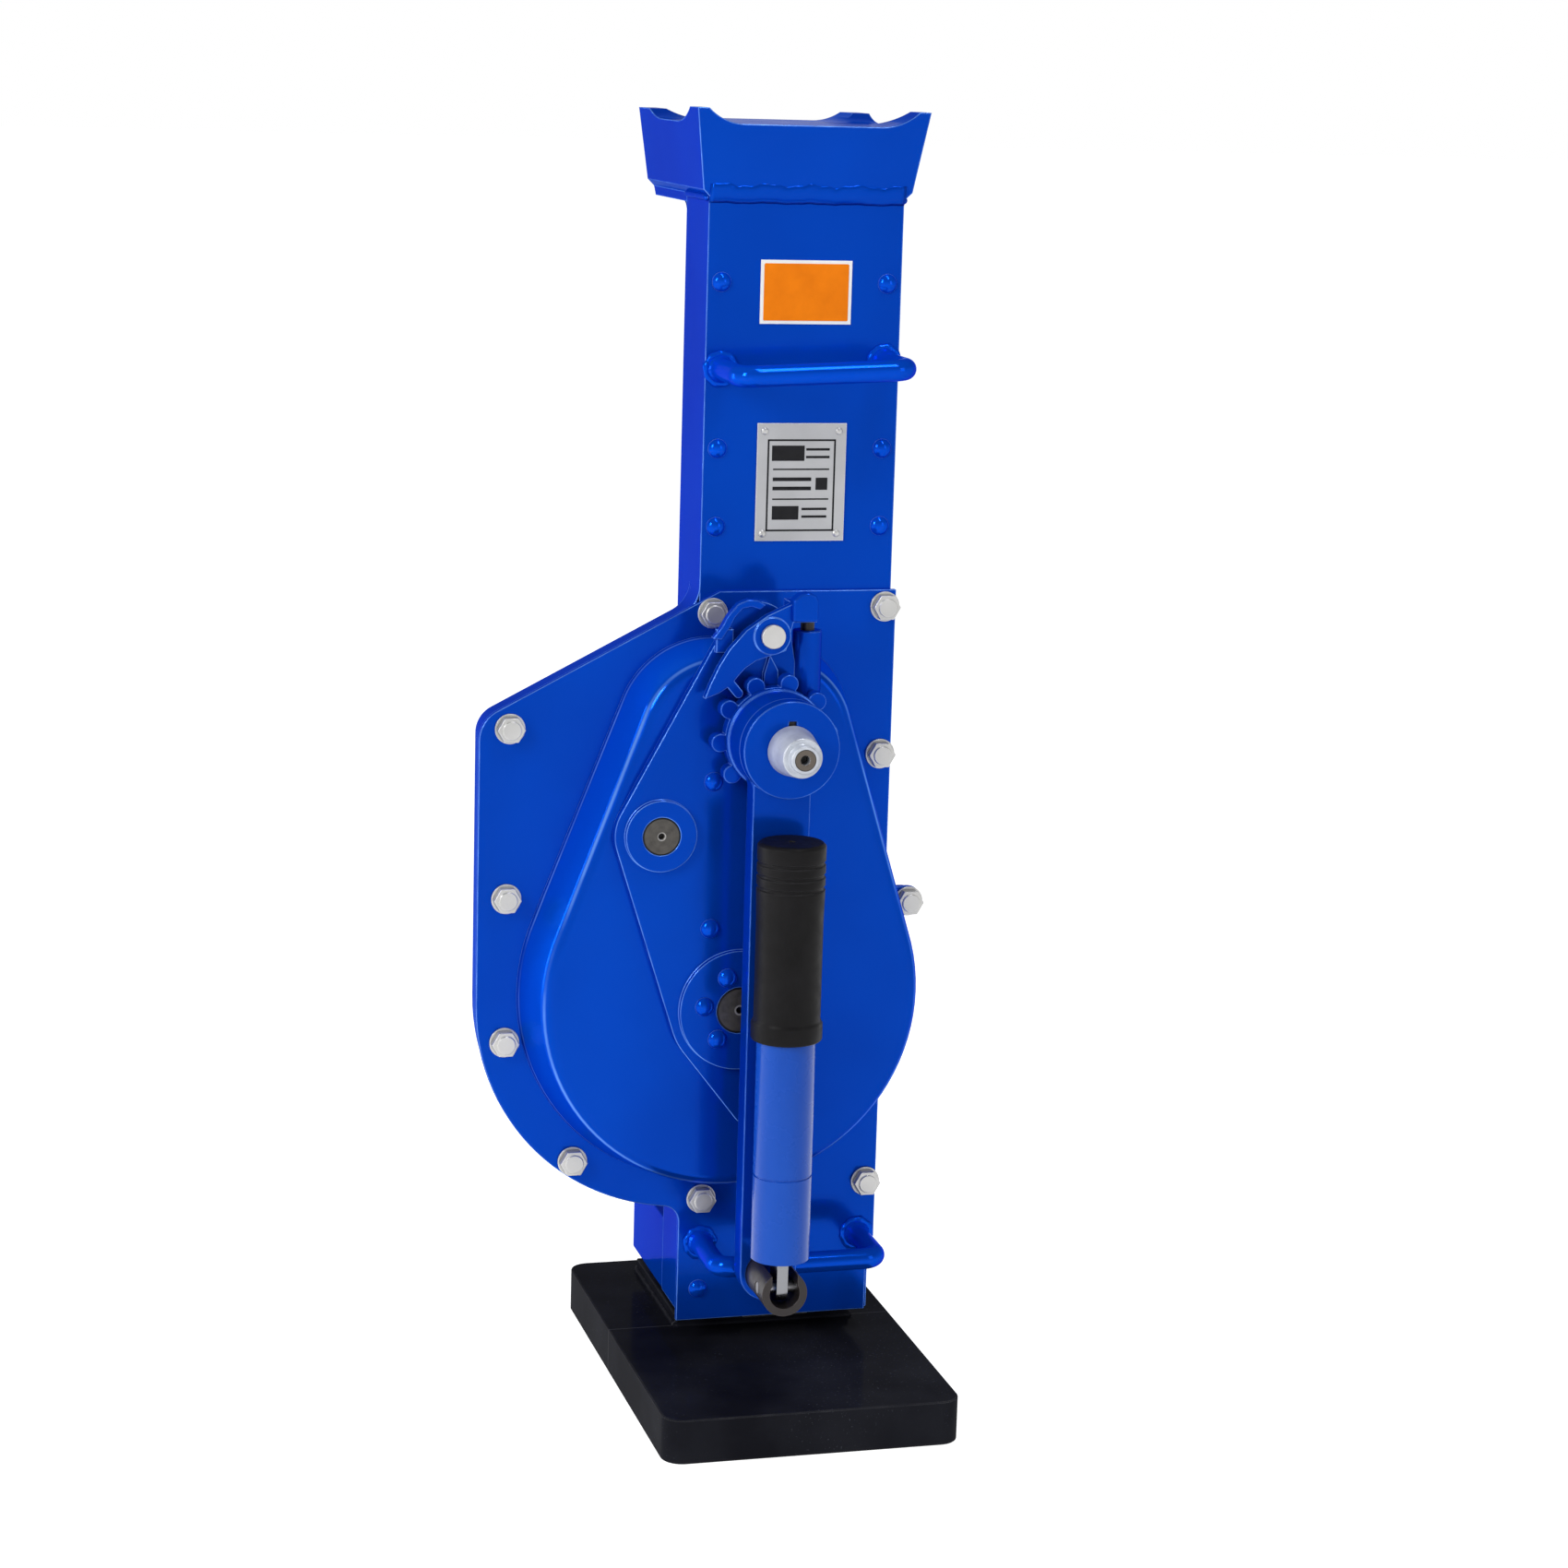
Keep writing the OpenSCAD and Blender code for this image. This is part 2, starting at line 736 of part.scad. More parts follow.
// Crown with four horns, widening upward
module lifting_head() {
    low_left = column_x - head_low_w / 2;
    low_right = column_x + head_low_w / 2;
    high_left = low_left - head_flare;
    high_right = low_right + head_flare;
    front_y = head_front_y - head_front_flare;
    depth = head_back_y - front_y;
    low_z = column_top - head_back_drop;
    rear_top_z = head_top_z - rear_horn_drop;
    color([0.02, 0.16, 0.62])
        difference() {
            intersection() {
                slab(front_y, depth)
                    polygon([[column_left, low_z], [column_right, low_z], [column_right, column_top],
                        [low_right, column_top + head_over], [high_right, head_top_z],
                        [high_left, head_top_z], [low_left, column_top + head_over],
                        [column_left, column_top]]);
                translate([high_left, 0, 0])
                    rotate([90, 0, 90])
                        linear_extrude(high_right - high_left)
                            polygon([[head_front_y, column_top], [column_back_y, column_top],
                                [column_back_y, low_z], [head_back_y - head_back_drop, low_z],
                                [head_back_y, column_top], [head_back_y, rear_top_z],
                                [head_mid_y, rear_top_z], [head_mid_y, head_top_z],
                                [front_y, head_top_z]]);
            }
            // valley across, between the left and right horns
            slab(front_y - eps, depth + 2 * eps)
                valley_outline(low_left + front_valley_in, low_right - front_valley_in, front_valley_r);
            // valley along, between the front and rear horns
            translate([high_left - eps, 0, 0])
                rotate([90, 0, 90])
                    linear_extrude(high_right - high_left + 2 * eps)
                        valley_outline(head_mid_y - side_valley_w / 2, head_mid_y + side_valley_w / 2,
                            side_valley_r);
        }
}

// Block that lifts loads close to the floor
module rear_toe() {
    color([0.02, 0.16, 0.62])
        translate([column_left, 0, 0])
            rotate([90, 0, 90])
                linear_extrude(column_w)
                    polygon([[column_back_y, casing_z], [toe_back_y, casing_z],
                        [toe_back_y, casing_z + toe_h - toe_chamfer],
                        [toe_back_y - toe_chamfer, casing_z + toe_h], [column_back_y, casing_z + toe_h]]);
}

// Blocks inside the column that keep the rack in line
module rack_guides() {
    tip_x = rack_pitch_x - addendum * rack_module - slide_gap;
    color([0.5, 0.4, 0.2])
        for (z = [lower_guide_z, upper_guide_z]) {
            block([inner_left, tip_x], [rack_y, rack_y + rack_t], [z, z + guide_h]);
            block([rack_back_x + slide_gap, inner_right], [rack_y, rack_y + rack_t], [z, z + guide_h]);
        }
}

// Bearing wall between the gears and the rack
module inner_web() {
    color([0.35, 0.36, 0.4])
        difference() {
            block([inner_left, inner_right], [web_y, web_y + web_t],
                [output_z - web_margin, crank_z + web_margin]);
            shaft_opening(crank_x, crank_z, crank_shaft_r + bush_wall + fit_gap, web_y, web_t);
            shaft_opening(output_x, output_z, output_shaft_r + free_gap, web_y, web_t);
        }
}

module front_plate() {
    right = column_right + plate_over;
    color([0.02, 0.16, 0.62])
        difference() {
            union() {
                slab(plate_y, plate_t)
                    polygon(concat(
                        [[right, plate_top], [slope_start_x, plate_top]],
                        arc_points(plate_left + corner_r, corner_z, corner_r, 90 + slope, 180),
                        arc_points(column_left, arc_z, case_r, 180, neck_arc_end),
                        arc_points(neck_x - neck_r, neck_z, neck_r, 90, 0),
                        [[neck_x, casing_z], [right - plate_low_step, casing_z],
                            [right - plate_low_step, plate_low_z - plate_low_step], [right, plate_low_z]]));
                side_ear(plate_y, plate_t, ear_r);
            }
            bolt_holes(plate_y - eps, plate_t + 2 * eps, bolt_r + fit_gap);
            shaft_opening(crank_x, crank_z, crank_shaft_r + cover_gap, plate_y, plate_t);
            shaft_opening(middle_x, middle_z, middle_shaft_r + free_gap, plate_y, plate_t);
            shaft_opening(output_x, output_z, output_shaft_r + cover_gap, plate_y, plate_t);
            bar_y(column_left + column_rivet_in, plate_rivet_z, rivet_shank_r + fit_gap, plate_y - eps,
                plate_t + 2 * eps);
        }
}

// One of the rounded pads that the cover is stretched over, with its foot on the plate
module dome_pad(foot, foot_r, face, face_r, shrink) {
    steps = 5;
    height = dome_h - shrink;
    side_h = height - dome_edge_r;
    core_r = face_r - shrink - dome_edge_r;
    bar_y(foot[0], foot[1], foot_r - shrink, plate_y - eps, eps, $fn = hull_fn * 2);
    translate([face[0], plate_y, face[1]])
        rotate([90, 0, 0])
            rotate_extrude($fn = hull_fn * 2)
                polygon(concat([[0, side_h]],
                    [for (i = [0 : steps]) let (a = 90 * i / steps)
                        [core_r + dome_edge_r * cos(a), side_h + dome_edge_r * sin(a)]],
                    [[0, height]]));
}

module dome_form(shrink) {
    hull() {
        dome_pad(dome_low_foot, dome_low_foot_r, dome_low_face, dome_low_face_r, shrink);
        dome_pad(dome_high, dome_high_foot_r, dome_high, dome_high_face_r, shrink);
        dome_pad(dome_side, dome_high_foot_r, dome_side, dome_high_face_r, shrink);
    }
}

module dome_cover() {
    color([0.02, 0.18, 0.66])
        difference() {
            dome_form(0);
            translate([0, eps, 0])
                dome_form(dome_wall);
            shaft_opening(crank_x, crank_z, crank_shaft_r + cover_gap, dome_y, 2 * dome_wall);
            shaft_opening(middle_x, middle_z, middle_shaft_r + cover_gap, dome_y, 2 * dome_wall);
            shaft_opening(output_x, output_z, output_shaft_r + cover_gap, dome_y, 2 * dome_wall);
            for (p = bearing_rivet_places)
                bar_y(p[0], p[1], rivet_shank_r + fit_gap, dome_y - eps, 2 * dome_wall);
            translate([plunger_x, plunger_y, housing_low_z - eps])
                cylinder(r = housing_r + fit_gap, h = housing_top_z - housing_low_z + 2 * eps);
        }
}

module bearing_corner(corner) {
    translate([corner[0], corner[1]])
        circle(r = corner[2], $fn = hull_fn * 2);
}

module bearing_outline() {
    union() {
        hull() {
            bearing_corner(bearing_top);
            bearing_corner(bearing_middle);
        }
        hull() {
            bearing_corner(bearing_middle);
            bearing_corner(bearing_output);
        }
        hull() {
            bearing_corner(bearing_output);
            bearing_corner(bearing_low);
        }
        hull() {
            bearing_corner(bearing_crank);
            bearing_corner(bearing_middle);
            bearing_corner(bearing_inner);
            bearing_corner(bearing_top);
        }
    }
}

module bearing_plate() {
    color([0.02, 0.17, 0.64])
        difference() {
            union() {
                slab(bearing_y, bearing_t)
                    bearing_outline();
                bar_y(crank_x, crank_z, boss_crank_r, boss_y, boss_h + eps);
                bar_y(middle_x, middle_z, boss_middle_r, boss_y, boss_h + eps);
                bar_y(output_x, output_z, boss_output_r, boss_y, boss_h + eps);
                // pointed fin above the ratchet wheel
                slab(boss_y, boss_h + eps)
                    translate([crank_x, crank_z])
                        polygon(fin_h * fin_share);
                // small stop block beside the pawl
                block([pawl_x - stop_left, pawl_x - stop_left + stop_w], [boss_y, bearing_y + eps],
                    [pawl_z - stop_down, pawl_z - stop_down + stop_h]);
            }
            shaft_opening(crank_x, crank_z, crank_shaft_r + fit_gap, boss_y, boss_h + bearing_t);
            shaft_opening(middle_x, middle_z, middle_shaft_r + fit_gap, boss_y, boss_h + bearing_t);
            shaft_opening(output_x, output_z, output_shaft_r + fit_gap, boss_y, boss_h + bearing_t);
            bar_y(pawl_x, pawl_z, pawl_pin_r + fit_gap, bearing_y - eps, bearing_t + 2 * eps);
            for (p = bearing_rivet_places)
                bar_y(p[0], p[1], rivet_shank_r + fit_gap, bearing_y - eps, bearing_t + 2 * eps);
            for (i = [0 : ring_rivets - 1])
                bar_y(output_x + ring_rivet_r * cos(ring_rivet_phase + 360 * i / ring_rivets),
                    output_z + ring_rivet_r * sin(ring_rivet_phase + 360 * i / ring_rivets),
                    rivet_shank_r + fit_gap, boss_y - eps, boss_h);
            translate([plunger_x, plunger_y, housing_low_z - eps])
                cylinder(r = housing_r + fit_gap, h = housing_top_z - housing_low_z + bearing_t);
        }
}

module bush_y(x, z, shaft_r, y, len) {
    difference() {
        bar_y(x, z, shaft_r + bush_wall, y, len);
        bar_y(x, z, shaft_r + fit_gap, y - eps, len + 2 * eps);
    }
}

// Rear bearings of the three shafts, three separate rings
module rear_bushes() {
    color([0.72, 0.53, 0.25]) {
        bush_y(crank_x, crank_z, crank_shaft_r, web_y, web_t);
        bush_y(middle_x, middle_z, middle_shaft_r, web_y, web_t);
        bush_y(output_x, output_z, output_shaft_r, column_back_y - wall_t, wall_t);
    }
}

module case_bolts() {
    color([0.75, 0.75, 0.77])
        for (p = bolt_places) {
            x = p[0];
            z = p[1];
            head_y = plate_y - washer_t - bolt_head_h;
            union() {
                translate([x, head_y + bolt_head_h, z])
                    rotate([90, 0, 0])
                        cylinder(r = bolt_head_r, h = bolt_head_h, $fn = 6);
                bar_y(x, z, bolt_face_r, head_y - bolt_face_h, bolt_face_h + eps);
                bar_y(x, z, bolt_r, head_y + bolt_head_h - eps, washer_t + bolt_len);
            }
        }
}

module case_washers() {
    color([0.7, 0.7, 0.72])
        for (p = bolt_places)
            difference() {
                bar_y(p[0], p[1], washer_r, plate_y - washer_t, washer_t);
                bar_y(p[0], p[1], bolt_r + fit_gap, plate_y - washer_t - eps, washer_t + 2 * eps);
            }
}

module rivet_y(x, z, y, grip) {
    union() {
        button_y(x, z, rivet_head_r, rivet_head_h, y);
        bar_y(x, z, rivet_shank_r, y - eps, grip);
    }
}

module casing_rivets() {
    color([0.02, 0.2, 0.7]) {
        for (z = column_rivet_z)
            for (x = [column_left + column_rivet_in, column_right - column_rivet_in])
                rivet_y(x, z, column_front_y, wall_t);
        rivet_y(column_left + column_rivet_in, plate_rivet_z, plate_y, plate_t + wall_t);
    }
}

module bearing_rivets() {
    color([0.02, 0.2, 0.7]) {
        for (p = bearing_rivet_places)
            rivet_y(p[0], p[1], bearing_y, bearing_t + dome_wall);
        for (i = [0 : ring_rivets - 1])
            rivet_y(output_x + ring_rivet_r * cos(ring_rivet_phase + 360 * i / ring_rivets),
                output_z + ring_rivet_r * sin(ring_rivet_phase + 360 * i / ring_rivets), boss_y,
                boss_h - free_gap);
    }
}

module label_plate() {
    color([0.95, 0.5, 0.1])
        block([marking_x - label_w / 2, marking_x + label_w / 2], [column_front_y - label_t, column_front_y],
            [label_z - label_h / 2, label_z + label_h / 2]);
}

module name_plate() {
    color([0.7, 0.7, 0.72])
        difference() {
            block([marking_x - name_w / 2, marking_x + name_w / 2], [column_front_y - name_t, column_front_y],
                [name_z - name_h / 2, name_z + name_h / 2]);
            name_pin_holes(column_front_y - name_t - eps, name_t + 2 * eps);
        }
}

module name_pin_holes(y, len) {
    for (sx = [-1, 1])
        for (sz = [-1, 1])
            bar_y(marking_x + sx * name_pin_x, name_z + sz * name_pin_z, name_pin_r + fit_gap, y, len);
}

module name_plate_pins() {
    color([0.8, 0.8, 0.8])
        for (sx = [-1, 1])
            for (sz = [-1, 1]) {
                x = marking_x + sx * name_pin_x;
                z = name_z + sz * name_pin_z;
                union() {
                    button_y(x, z, name_pin_head_r, name_pin_head_r / 2, column_front_y - name_t);
                    bar_y(x, z, name_pin_r, column_front_y - name_t - eps, name_t + wall_t / 3);
                }
            }
}

// Bent rod with two welded feet, standing on a face at y
module carry_handle(y, z) {
    rod_r = carry_rod_d / 2;
    rod_y = column_front_y - carry_reach;
    half = carry_span / 2;
    color([0.02, 0.16, 0.62])
        union() {
            for (sx = [-1, 1]) {
                bar_y(column_x + sx * half, z, rod_r, rod_y + carry_bend_r, y - rod_y - carry_bend_r);
                translate([column_x + sx * half, y, z])
                    rotate([90, 0, 0])
                        cylinder(r1 = carry_foot_r, r2 = rod_r, h = carry_foot_h);
                translate([column_x + sx * (half - carry_bend_r), rod_y + carry_bend_r, z])
                    rotate([0, 0, sx > 0 ? -90 : 180])
                        rotate_extrude(angle = 90)
                            translate([carry_bend_r, 0])
                                circle(r = rod_r);
            }
            translate([column_x - half + carry_bend_r, rod_y, z])
                rotate([0, 90, 0])
                    cylinder(r = rod_r, h = carry_span - 2 * carry_bend_r);
        }
}

// The upper handle is welded on slightly askew, its right end higher
module upper_carry_handle() {
    translate([column_x, 0, carry_upper_z])
        rotate([0, -carry_tilt, 0])
            translate([-column_x, 0, -carry_upper_z])
                carry_handle(column_front_y, carry_upper_z);
}

module lower_carry_handle() {
    carry_handle(plate_y, carry_lower_z);
}

module spring_housing() {
    color([0.02, 0.17, 0.64])
        translate([plunger_x, plunger_y, 0])
            difference() {
                translate([0, 0, housing_low_z])
                    cylinder(r = housing_r, h = housing_top_z - housing_low_z);
                translate([0, 0, housing_low_z + housing_floor])
                    cylinder(r = housing_bore_r,
                        h = housing_top_z - housing_low_z - housing_floor - housing_cap);
                translate([0, 0, housing_top_z - housing_cap - eps])
                    cylinder(r = plunger_r + fit_gap, h = housing_cap + 2 * eps);
            }
}

module pawl_pivot_bolt() {
    head_y = pawl_y - pawl_boss_h - pawl_head_h - pawl_head_gap;
    color([0.75, 0.75, 0.77])
        union() {
            bar_y(pawl_x, pawl_z, pawl_head_r, head_y, pawl_head_h);
            bar_y(pawl_x, pawl_z, pawl_pin_r, head_y + pawl_head_h - eps, dome_y - head_y - pawl_head_h);
        }
}

module crank_arm() {
    color([0.02, 0.17, 0.64])
        difference() {
            union() {
                bar_y(crank_x, crank_z, hub_r, hub_y, hub_len);
                bar_y(crank_x, crank_z, hub_step_r, hub_y + hub_len - hub_step_t, hub_step_t);
                block([crank_x - arm_w / 2, crank_x + arm_w / 2], [arm_y, arm_y + arm_t],
                    [socket_z, crank_z]);
                bar_y(crank_x, socket_z, arm_w / 2, arm_y, arm_t);
            }
            bar_y(crank_x, crank_z, crank_shaft_r + fit_gap, hub_y - eps, hub_len + 2 * eps);
            bar_y(crank_x, socket_z, socket_r + fit_gap, arm_y - eps, arm_t + 2 * eps);
            block([crank_x - key_w / 2 - fit_gap, crank_x + key_w / 2 + fit_gap],
                [hub_y - eps, hub_y + key_deep + fit_gap], [crank_z, crank_z + key_top_r + fit_gap]);
        }
}

// The shaft ends inside the hub; its keyway holds the key
module crank_shaft() {
    color([0.3, 0.3, 0.32])
        difference() {
            bar_y(crank_x, crank_z, crank_shaft_r, hub_y, web_y + web_t - hub_y);
            block([crank_x - key_w / 2 - fit_gap, crank_x + key_w / 2 + fit_gap],
                [hub_y - eps, hub_y + key_deep + fit_gap], [crank_z + key_low_r, crank_z + key_top_r]);
        }
}

module crank_pinion() {
    color([0.45, 0.45, 0.47])
        gear_y(first_module, crank_teeth, crank_pinion_phase, crank_x, crank_z, first_gear_y, first_gear_t,
            crank_shaft_r);
}

// Stepped nose on the front of the crank hub
module crank_spigot() {
    color([0.72, 0.74, 0.76])
        difference() {
            translate([crank_x, hub_y, crank_z])
                rotate([90, 0, 0])
                    union() {
                        cylinder(r1 = spigot_root_r, r2 = spigot_nose_r, h = spigot_len);
                        cylinder(r = spigot_step_r, h = spigot_len + spigot_step_len);
                    }
            bar_y(crank_x, crank_z, spigot_hole_r, hub_y - spigot_len - spigot_step_len - eps,
                spigot_hole_deep);
        }
}

module drive_key() {
    color([0.08, 0.08, 0.08])
        block([crank_x - key_w / 2, crank_x + key_w / 2], [hub_y + key_recess, hub_y + key_deep],
            [crank_z + key_low_r + fit_gap, crank_z + key_top_r]);
}

// Slotted tube that the handle folds out of
module handle_socket() {
    color([0.08, 0.08, 0.09])
        difference() {
            bar_y(crank_x, socket_z, socket_r, socket_y, socket_back_y - socket_y);
            bar_y(crank_x, socket_z, socket_bore_r, socket_y - eps, socket_back_y - socket_y + 2 * eps);
            block([crank_x - socket_slot_w / 2, crank_x + socket_slot_w / 2],
                [socket_y - eps, arm_y - socket_slot_gap], [socket_z, socket_z + socket_r + eps]);
            translate([crank_x - socket_r - eps, fold_y, socket_z])
                rotate([0, 90, 0])
                    cylinder(r = fold_pin_r + fit_gap, h = 2 * socket_r + 2 * eps);
        }
}

module fold_pin() {
    color([0.6, 0.6, 0.62])
        translate([crank_x - fold_pin_len / 2, fold_y, socket_z])
            rotate([0, 90, 0])
                cylinder(r = fold_pin_r, h = fold_pin_len);
}

module ratchet_wheel() {
    lobe_reach = ratchet_tip_r - ratchet_lobe_r;
    color([0.02, 0.2, 0.7])
        difference() {
            union() {
                bar_y(crank_x, crank_z, ratchet_root_r, ratchet_y, ratchet_t);
                for (i = [0 : ratchet_lobes - 1])
                    bar_y(crank_x + lobe_reach * cos(ratchet_phase + 360 * i / ratchet_lobes),
                        crank_z + lobe_reach * sin(ratchet_phase + 360 * i / ratchet_lobes),
                        ratchet_lobe_r, ratchet_y, ratchet_t);
                bar_y(crank_x, crank_z, ratchet_hub_r, ratchet_y, ratchet_hub_len);
            }
            bar_y(crank_x, crank_z, crank_shaft_r + fit_gap, ratchet_y - eps, ratchet_hub_len + 2 * eps);
        }
}

module pawl_lever() {
    color([0.02, 0.2, 0.7])
        difference() {
            union() {
                slab(pawl_y, pawl_t)
                    union() {
                        translate([pawl_x, pawl_z])
                            polygon(lever_reach * lever_share);
                        translate([crank_x + pawl_tooth_reach * cos(pawl_tooth_angle),
                            crank_z + pawl_tooth_reach * sin(pawl_tooth_angle)])
                            rotate(pawl_tooth_angle)
                                union() {
                                    circle(r = pawl_tooth_r);
                                    translate([0, -pawl_tooth_r])
                                        square([pawl_tooth_len, 2 * pawl_tooth_r]);
                                }
                    }
                // pad over the plunger, wider toward the back
                block([pawl_x + pad_right - pad_w, pawl_x + pad_right],
                    [pawl_y, plunger_y + plunger_r + pad_over], [pad_low_z, pad_low_z + pad_h]);
                bar_y(pawl_x, pawl_z, pawl_boss_r, pawl_y - pawl_boss_h, pawl_t + pawl_boss_h);
            }
            bar_y(pawl_x, pawl_z, pawl_pin_r + fit_gap, pawl_y - pawl_boss_h - eps,
                pawl_t + pawl_boss_h + 2 * eps);
        }
}

module pawl_plunger() {
    top_z = pad_low_z - slide_gap;
    dome_r = plunger_r + plunger_tip_over;
    cap_h = dome_r - sqrt(dome_r * dome_r - plunger_r * plunger_r);
    color([0.2, 0.2, 0.22])
        translate([plunger_x, plunger_y, 0])
            union() {
                translate([0, 0, plunger_collar_z])
                    cylinder(r = plunger_r, h = top_z - cap_h - plunger_collar_z);
                translate([0, 0, top_z - cap_h - eps])
                    intersection() {
                        cylinder(r = plunger_r, h = cap_h + eps);
                        translate([0, 0, cap_h + eps - dome_r])
                            sphere(r = dome_r);
                    }
                translate([0, 0, plunger_collar_z])
                    cylinder(r = plunger_collar_r, h = plunger_collar_h);
            }
}

// Coil of round wire swept along a helix as one closed tube
module pawl_spring() {
    rings = spring_turns * spring_rings_per_turn;
    rise = (spring_high_z - spring_low_z) / rings;
    points = [for (i = [0 : rings]) for (k = [0 : spring_sides - 1])
        let (turn = 360 * i / spring_rings_per_turn)
        let (side = 360 * k / spring_sides)
        let (r = spring_coil_r + spring_wire_r * cos(side))
        [plunger_x + r * cos(turn), plunger_y + r * sin(turn),
            spring_low_z + rise * i + spring_wire_r * sin(side)]];
    walls = [for (i = [0 : rings - 1]) for (k = [0 : spring_sides - 1])
        let (n = (k + 1) % spring_sides)
        [i * spring_sides + k, i * spring_sides + n, (i + 1) * spring_sides + n, (i + 1) * spring_sides + k]];
    start_cap = [for (k = [0 : spring_sides - 1]) spring_sides - 1 - k];
    end_cap = [for (k = [0 : spring_sides - 1]) rings * spring_sides + k];
    color([0.4, 0.4, 0.42])
        polyhedron(points, concat([start_cap], walls, [end_cap]));
}

module middle_shaft() {
    color([0.12, 0.12, 0.13])
        shaft_y(middle_x, middle_z, middle_shaft_r, boss_y, web_y + web_t - boss_y);
}

module middle_wheel() {
    color([0.45, 0.45, 0.47])
        gear_y(first_module, middle_teeth, middle_wheel_phase, middle_x, middle_z, first_gear_y, first_gear_t,
            middle_shaft_r);
}

module middle_pinion() {
    color([0.45, 0.45, 0.47])
        gear_y(second_module, small_teeth, middle_pinion_phase, middle_x, middle_z, second_gear_y,
            second_gear_t, middle_shaft_r);
}

module output_shaft() {
    color([0.12, 0.12, 0.13])
        shaft_y(output_x, output_z, output_shaft_r, boss_y, column_back_y - boss_y);
}

module output_wheel() {
    color([0.45, 0.45, 0.47])
        gear_y(second_module, large_teeth, output_wheel_phase, output_x, output_z, second_gear_y,
            second_gear_t, output_shaft_r);
}

module rack_pinion() {
    color([0.45, 0.45, 0.47])
        gear_y(rack_module, rack_pinion_teeth, rack_pinion_phase, output_x, output_z, rack_y, rack_t,
            output_shaft_r);
}

module handle_rod() {
    low = handle_low_z;
    color([0.05, 0.22, 0.72])
        difference() {
            union() {
                translate([crank_x, fold_y, low])
                    cylinder(r = handle_d / 2, h = handle_len);
                translate([crank_x, fold_y, low])
                    cylinder(r = handle_core_r, h = handle_len + grip_len - grip_cap - grip_core_gap);
                // flat tongue that reaches down to the fold pin
                block([crank_x - tenon_t / 2, crank_x + tenon_t / 2], [fold_y - tenon_r, fold_y + tenon_r],
                    [socket_z, low + eps]);
                translate([crank_x - tenon_t / 2, fold_y, socket_z])
                    rotate([0, 90, 0])
                        cylinder(r = tenon_r, h = tenon_t);
            }
            translate([crank_x - tenon_t, fold_y, socket_z])
                rotate([0, 90, 0])
                    cylinder(r = fold_pin_r + fit_gap, h = 2 * tenon_t);
            // shallow seam round the rod
            translate([crank_x, fold_y, seam_z])
                difference() {
                    cylinder(r = handle_d, h = seam_h);
                    translate([0, 0, -eps])
                        cylinder(r = handle_d / 2 - seam_deep, h = seam_h + 2 * eps);
                }
        }
}

module handle_grip() {
    r = grip_d / 2;
    color([0.06, 0.06, 0.06])
        translate([crank_x, fold_y, grip_z])
            difference() {
                rotate_extrude()
                    polygon([[0, 0], [r - grip_swell_in, 0], [r, grip_swell_in], [r, grip_collar_h],
                        [r - grip_waist_in, grip_waist_h], [r - grip_waist_in, grip_len * grip_waist_share],
                        [r - grip_swell_in, grip_len * grip_swell_share],
                        [r - grip_swell_in, grip_len - grip_edge],
                        [r - grip_swell_in - grip_edge, grip_len], [0, grip_len]]);
                translate([0, 0, -eps])
                    cylinder(r = handle_core_r + 2 * fit_gap, h = grip_len - grip_cap);
                cylinder(r = shaft_centre_r, h = grip_len + eps);
                for (i = [0 : grip_rings - 1])
                    translate([0, 0, grip_len - grip_ring_in - i * grip_ring_step])
                        difference() {
                            cylinder(r = grip_d, h = grip_ring_h);
                            translate([0, 0, -eps])
                                cylinder(r = r - grip_swell_in - grip_ring_deep, h = grip_ring_h + 2 * eps);
                        }
            }
}

base_plate();
foot_pad();
rack_bar();
column_casing();
lifting_head();
rear_toe();
rack_guides();
inner_web();
front_plate();
dome_cover();
bearing_plate();
rear_bushes();
case_bolts();
case_washers();
casing_rivets();
bearing_rivets();
label_plate();
name_plate();
name_plate_pins();
upper_carry_handle();
lower_carry_handle();
spring_housing();
pawl_pivot_bolt();
crank_arm();
crank_shaft();
crank_pinion();
crank_spigot();
drive_key();
handle_socket();
fold_pin();
ratchet_wheel();
pawl_lever();
pawl_plunger();
pawl_spring();
middle_shaft();
middle_wheel();
middle_pinion();
output_shaft();
output_wheel();
rack_pinion();
handle_rod();
handle_grip();
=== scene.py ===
# %% [markdown]
# # A rack and pinion jack, dressed for its photograph
# The solids of this jack come packed from the construction model: every gear, plate and bolt is there,
# in metres, standing on the origin. This script gives them their finishes, eases their edges and adds
# the small things that a solid model leaves out, such as weld beads and the plates' printed fields.

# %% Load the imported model
import json
import math
import random

import bmesh
import bpy
from mathutils import Matrix, Vector


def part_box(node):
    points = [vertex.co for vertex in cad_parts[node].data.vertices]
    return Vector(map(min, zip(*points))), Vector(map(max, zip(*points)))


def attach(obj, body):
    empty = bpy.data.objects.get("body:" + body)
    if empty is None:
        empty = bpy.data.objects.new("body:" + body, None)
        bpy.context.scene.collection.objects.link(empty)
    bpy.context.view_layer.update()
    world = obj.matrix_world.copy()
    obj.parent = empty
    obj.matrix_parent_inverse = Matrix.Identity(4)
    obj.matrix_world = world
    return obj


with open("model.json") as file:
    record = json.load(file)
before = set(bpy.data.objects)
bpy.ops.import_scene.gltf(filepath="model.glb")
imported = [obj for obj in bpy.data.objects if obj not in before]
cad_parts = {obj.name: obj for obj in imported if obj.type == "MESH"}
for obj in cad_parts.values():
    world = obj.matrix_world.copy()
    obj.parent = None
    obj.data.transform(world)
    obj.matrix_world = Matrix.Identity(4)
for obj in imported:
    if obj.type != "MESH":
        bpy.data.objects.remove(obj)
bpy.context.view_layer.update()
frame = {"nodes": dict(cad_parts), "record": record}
nodes = frame["nodes"]

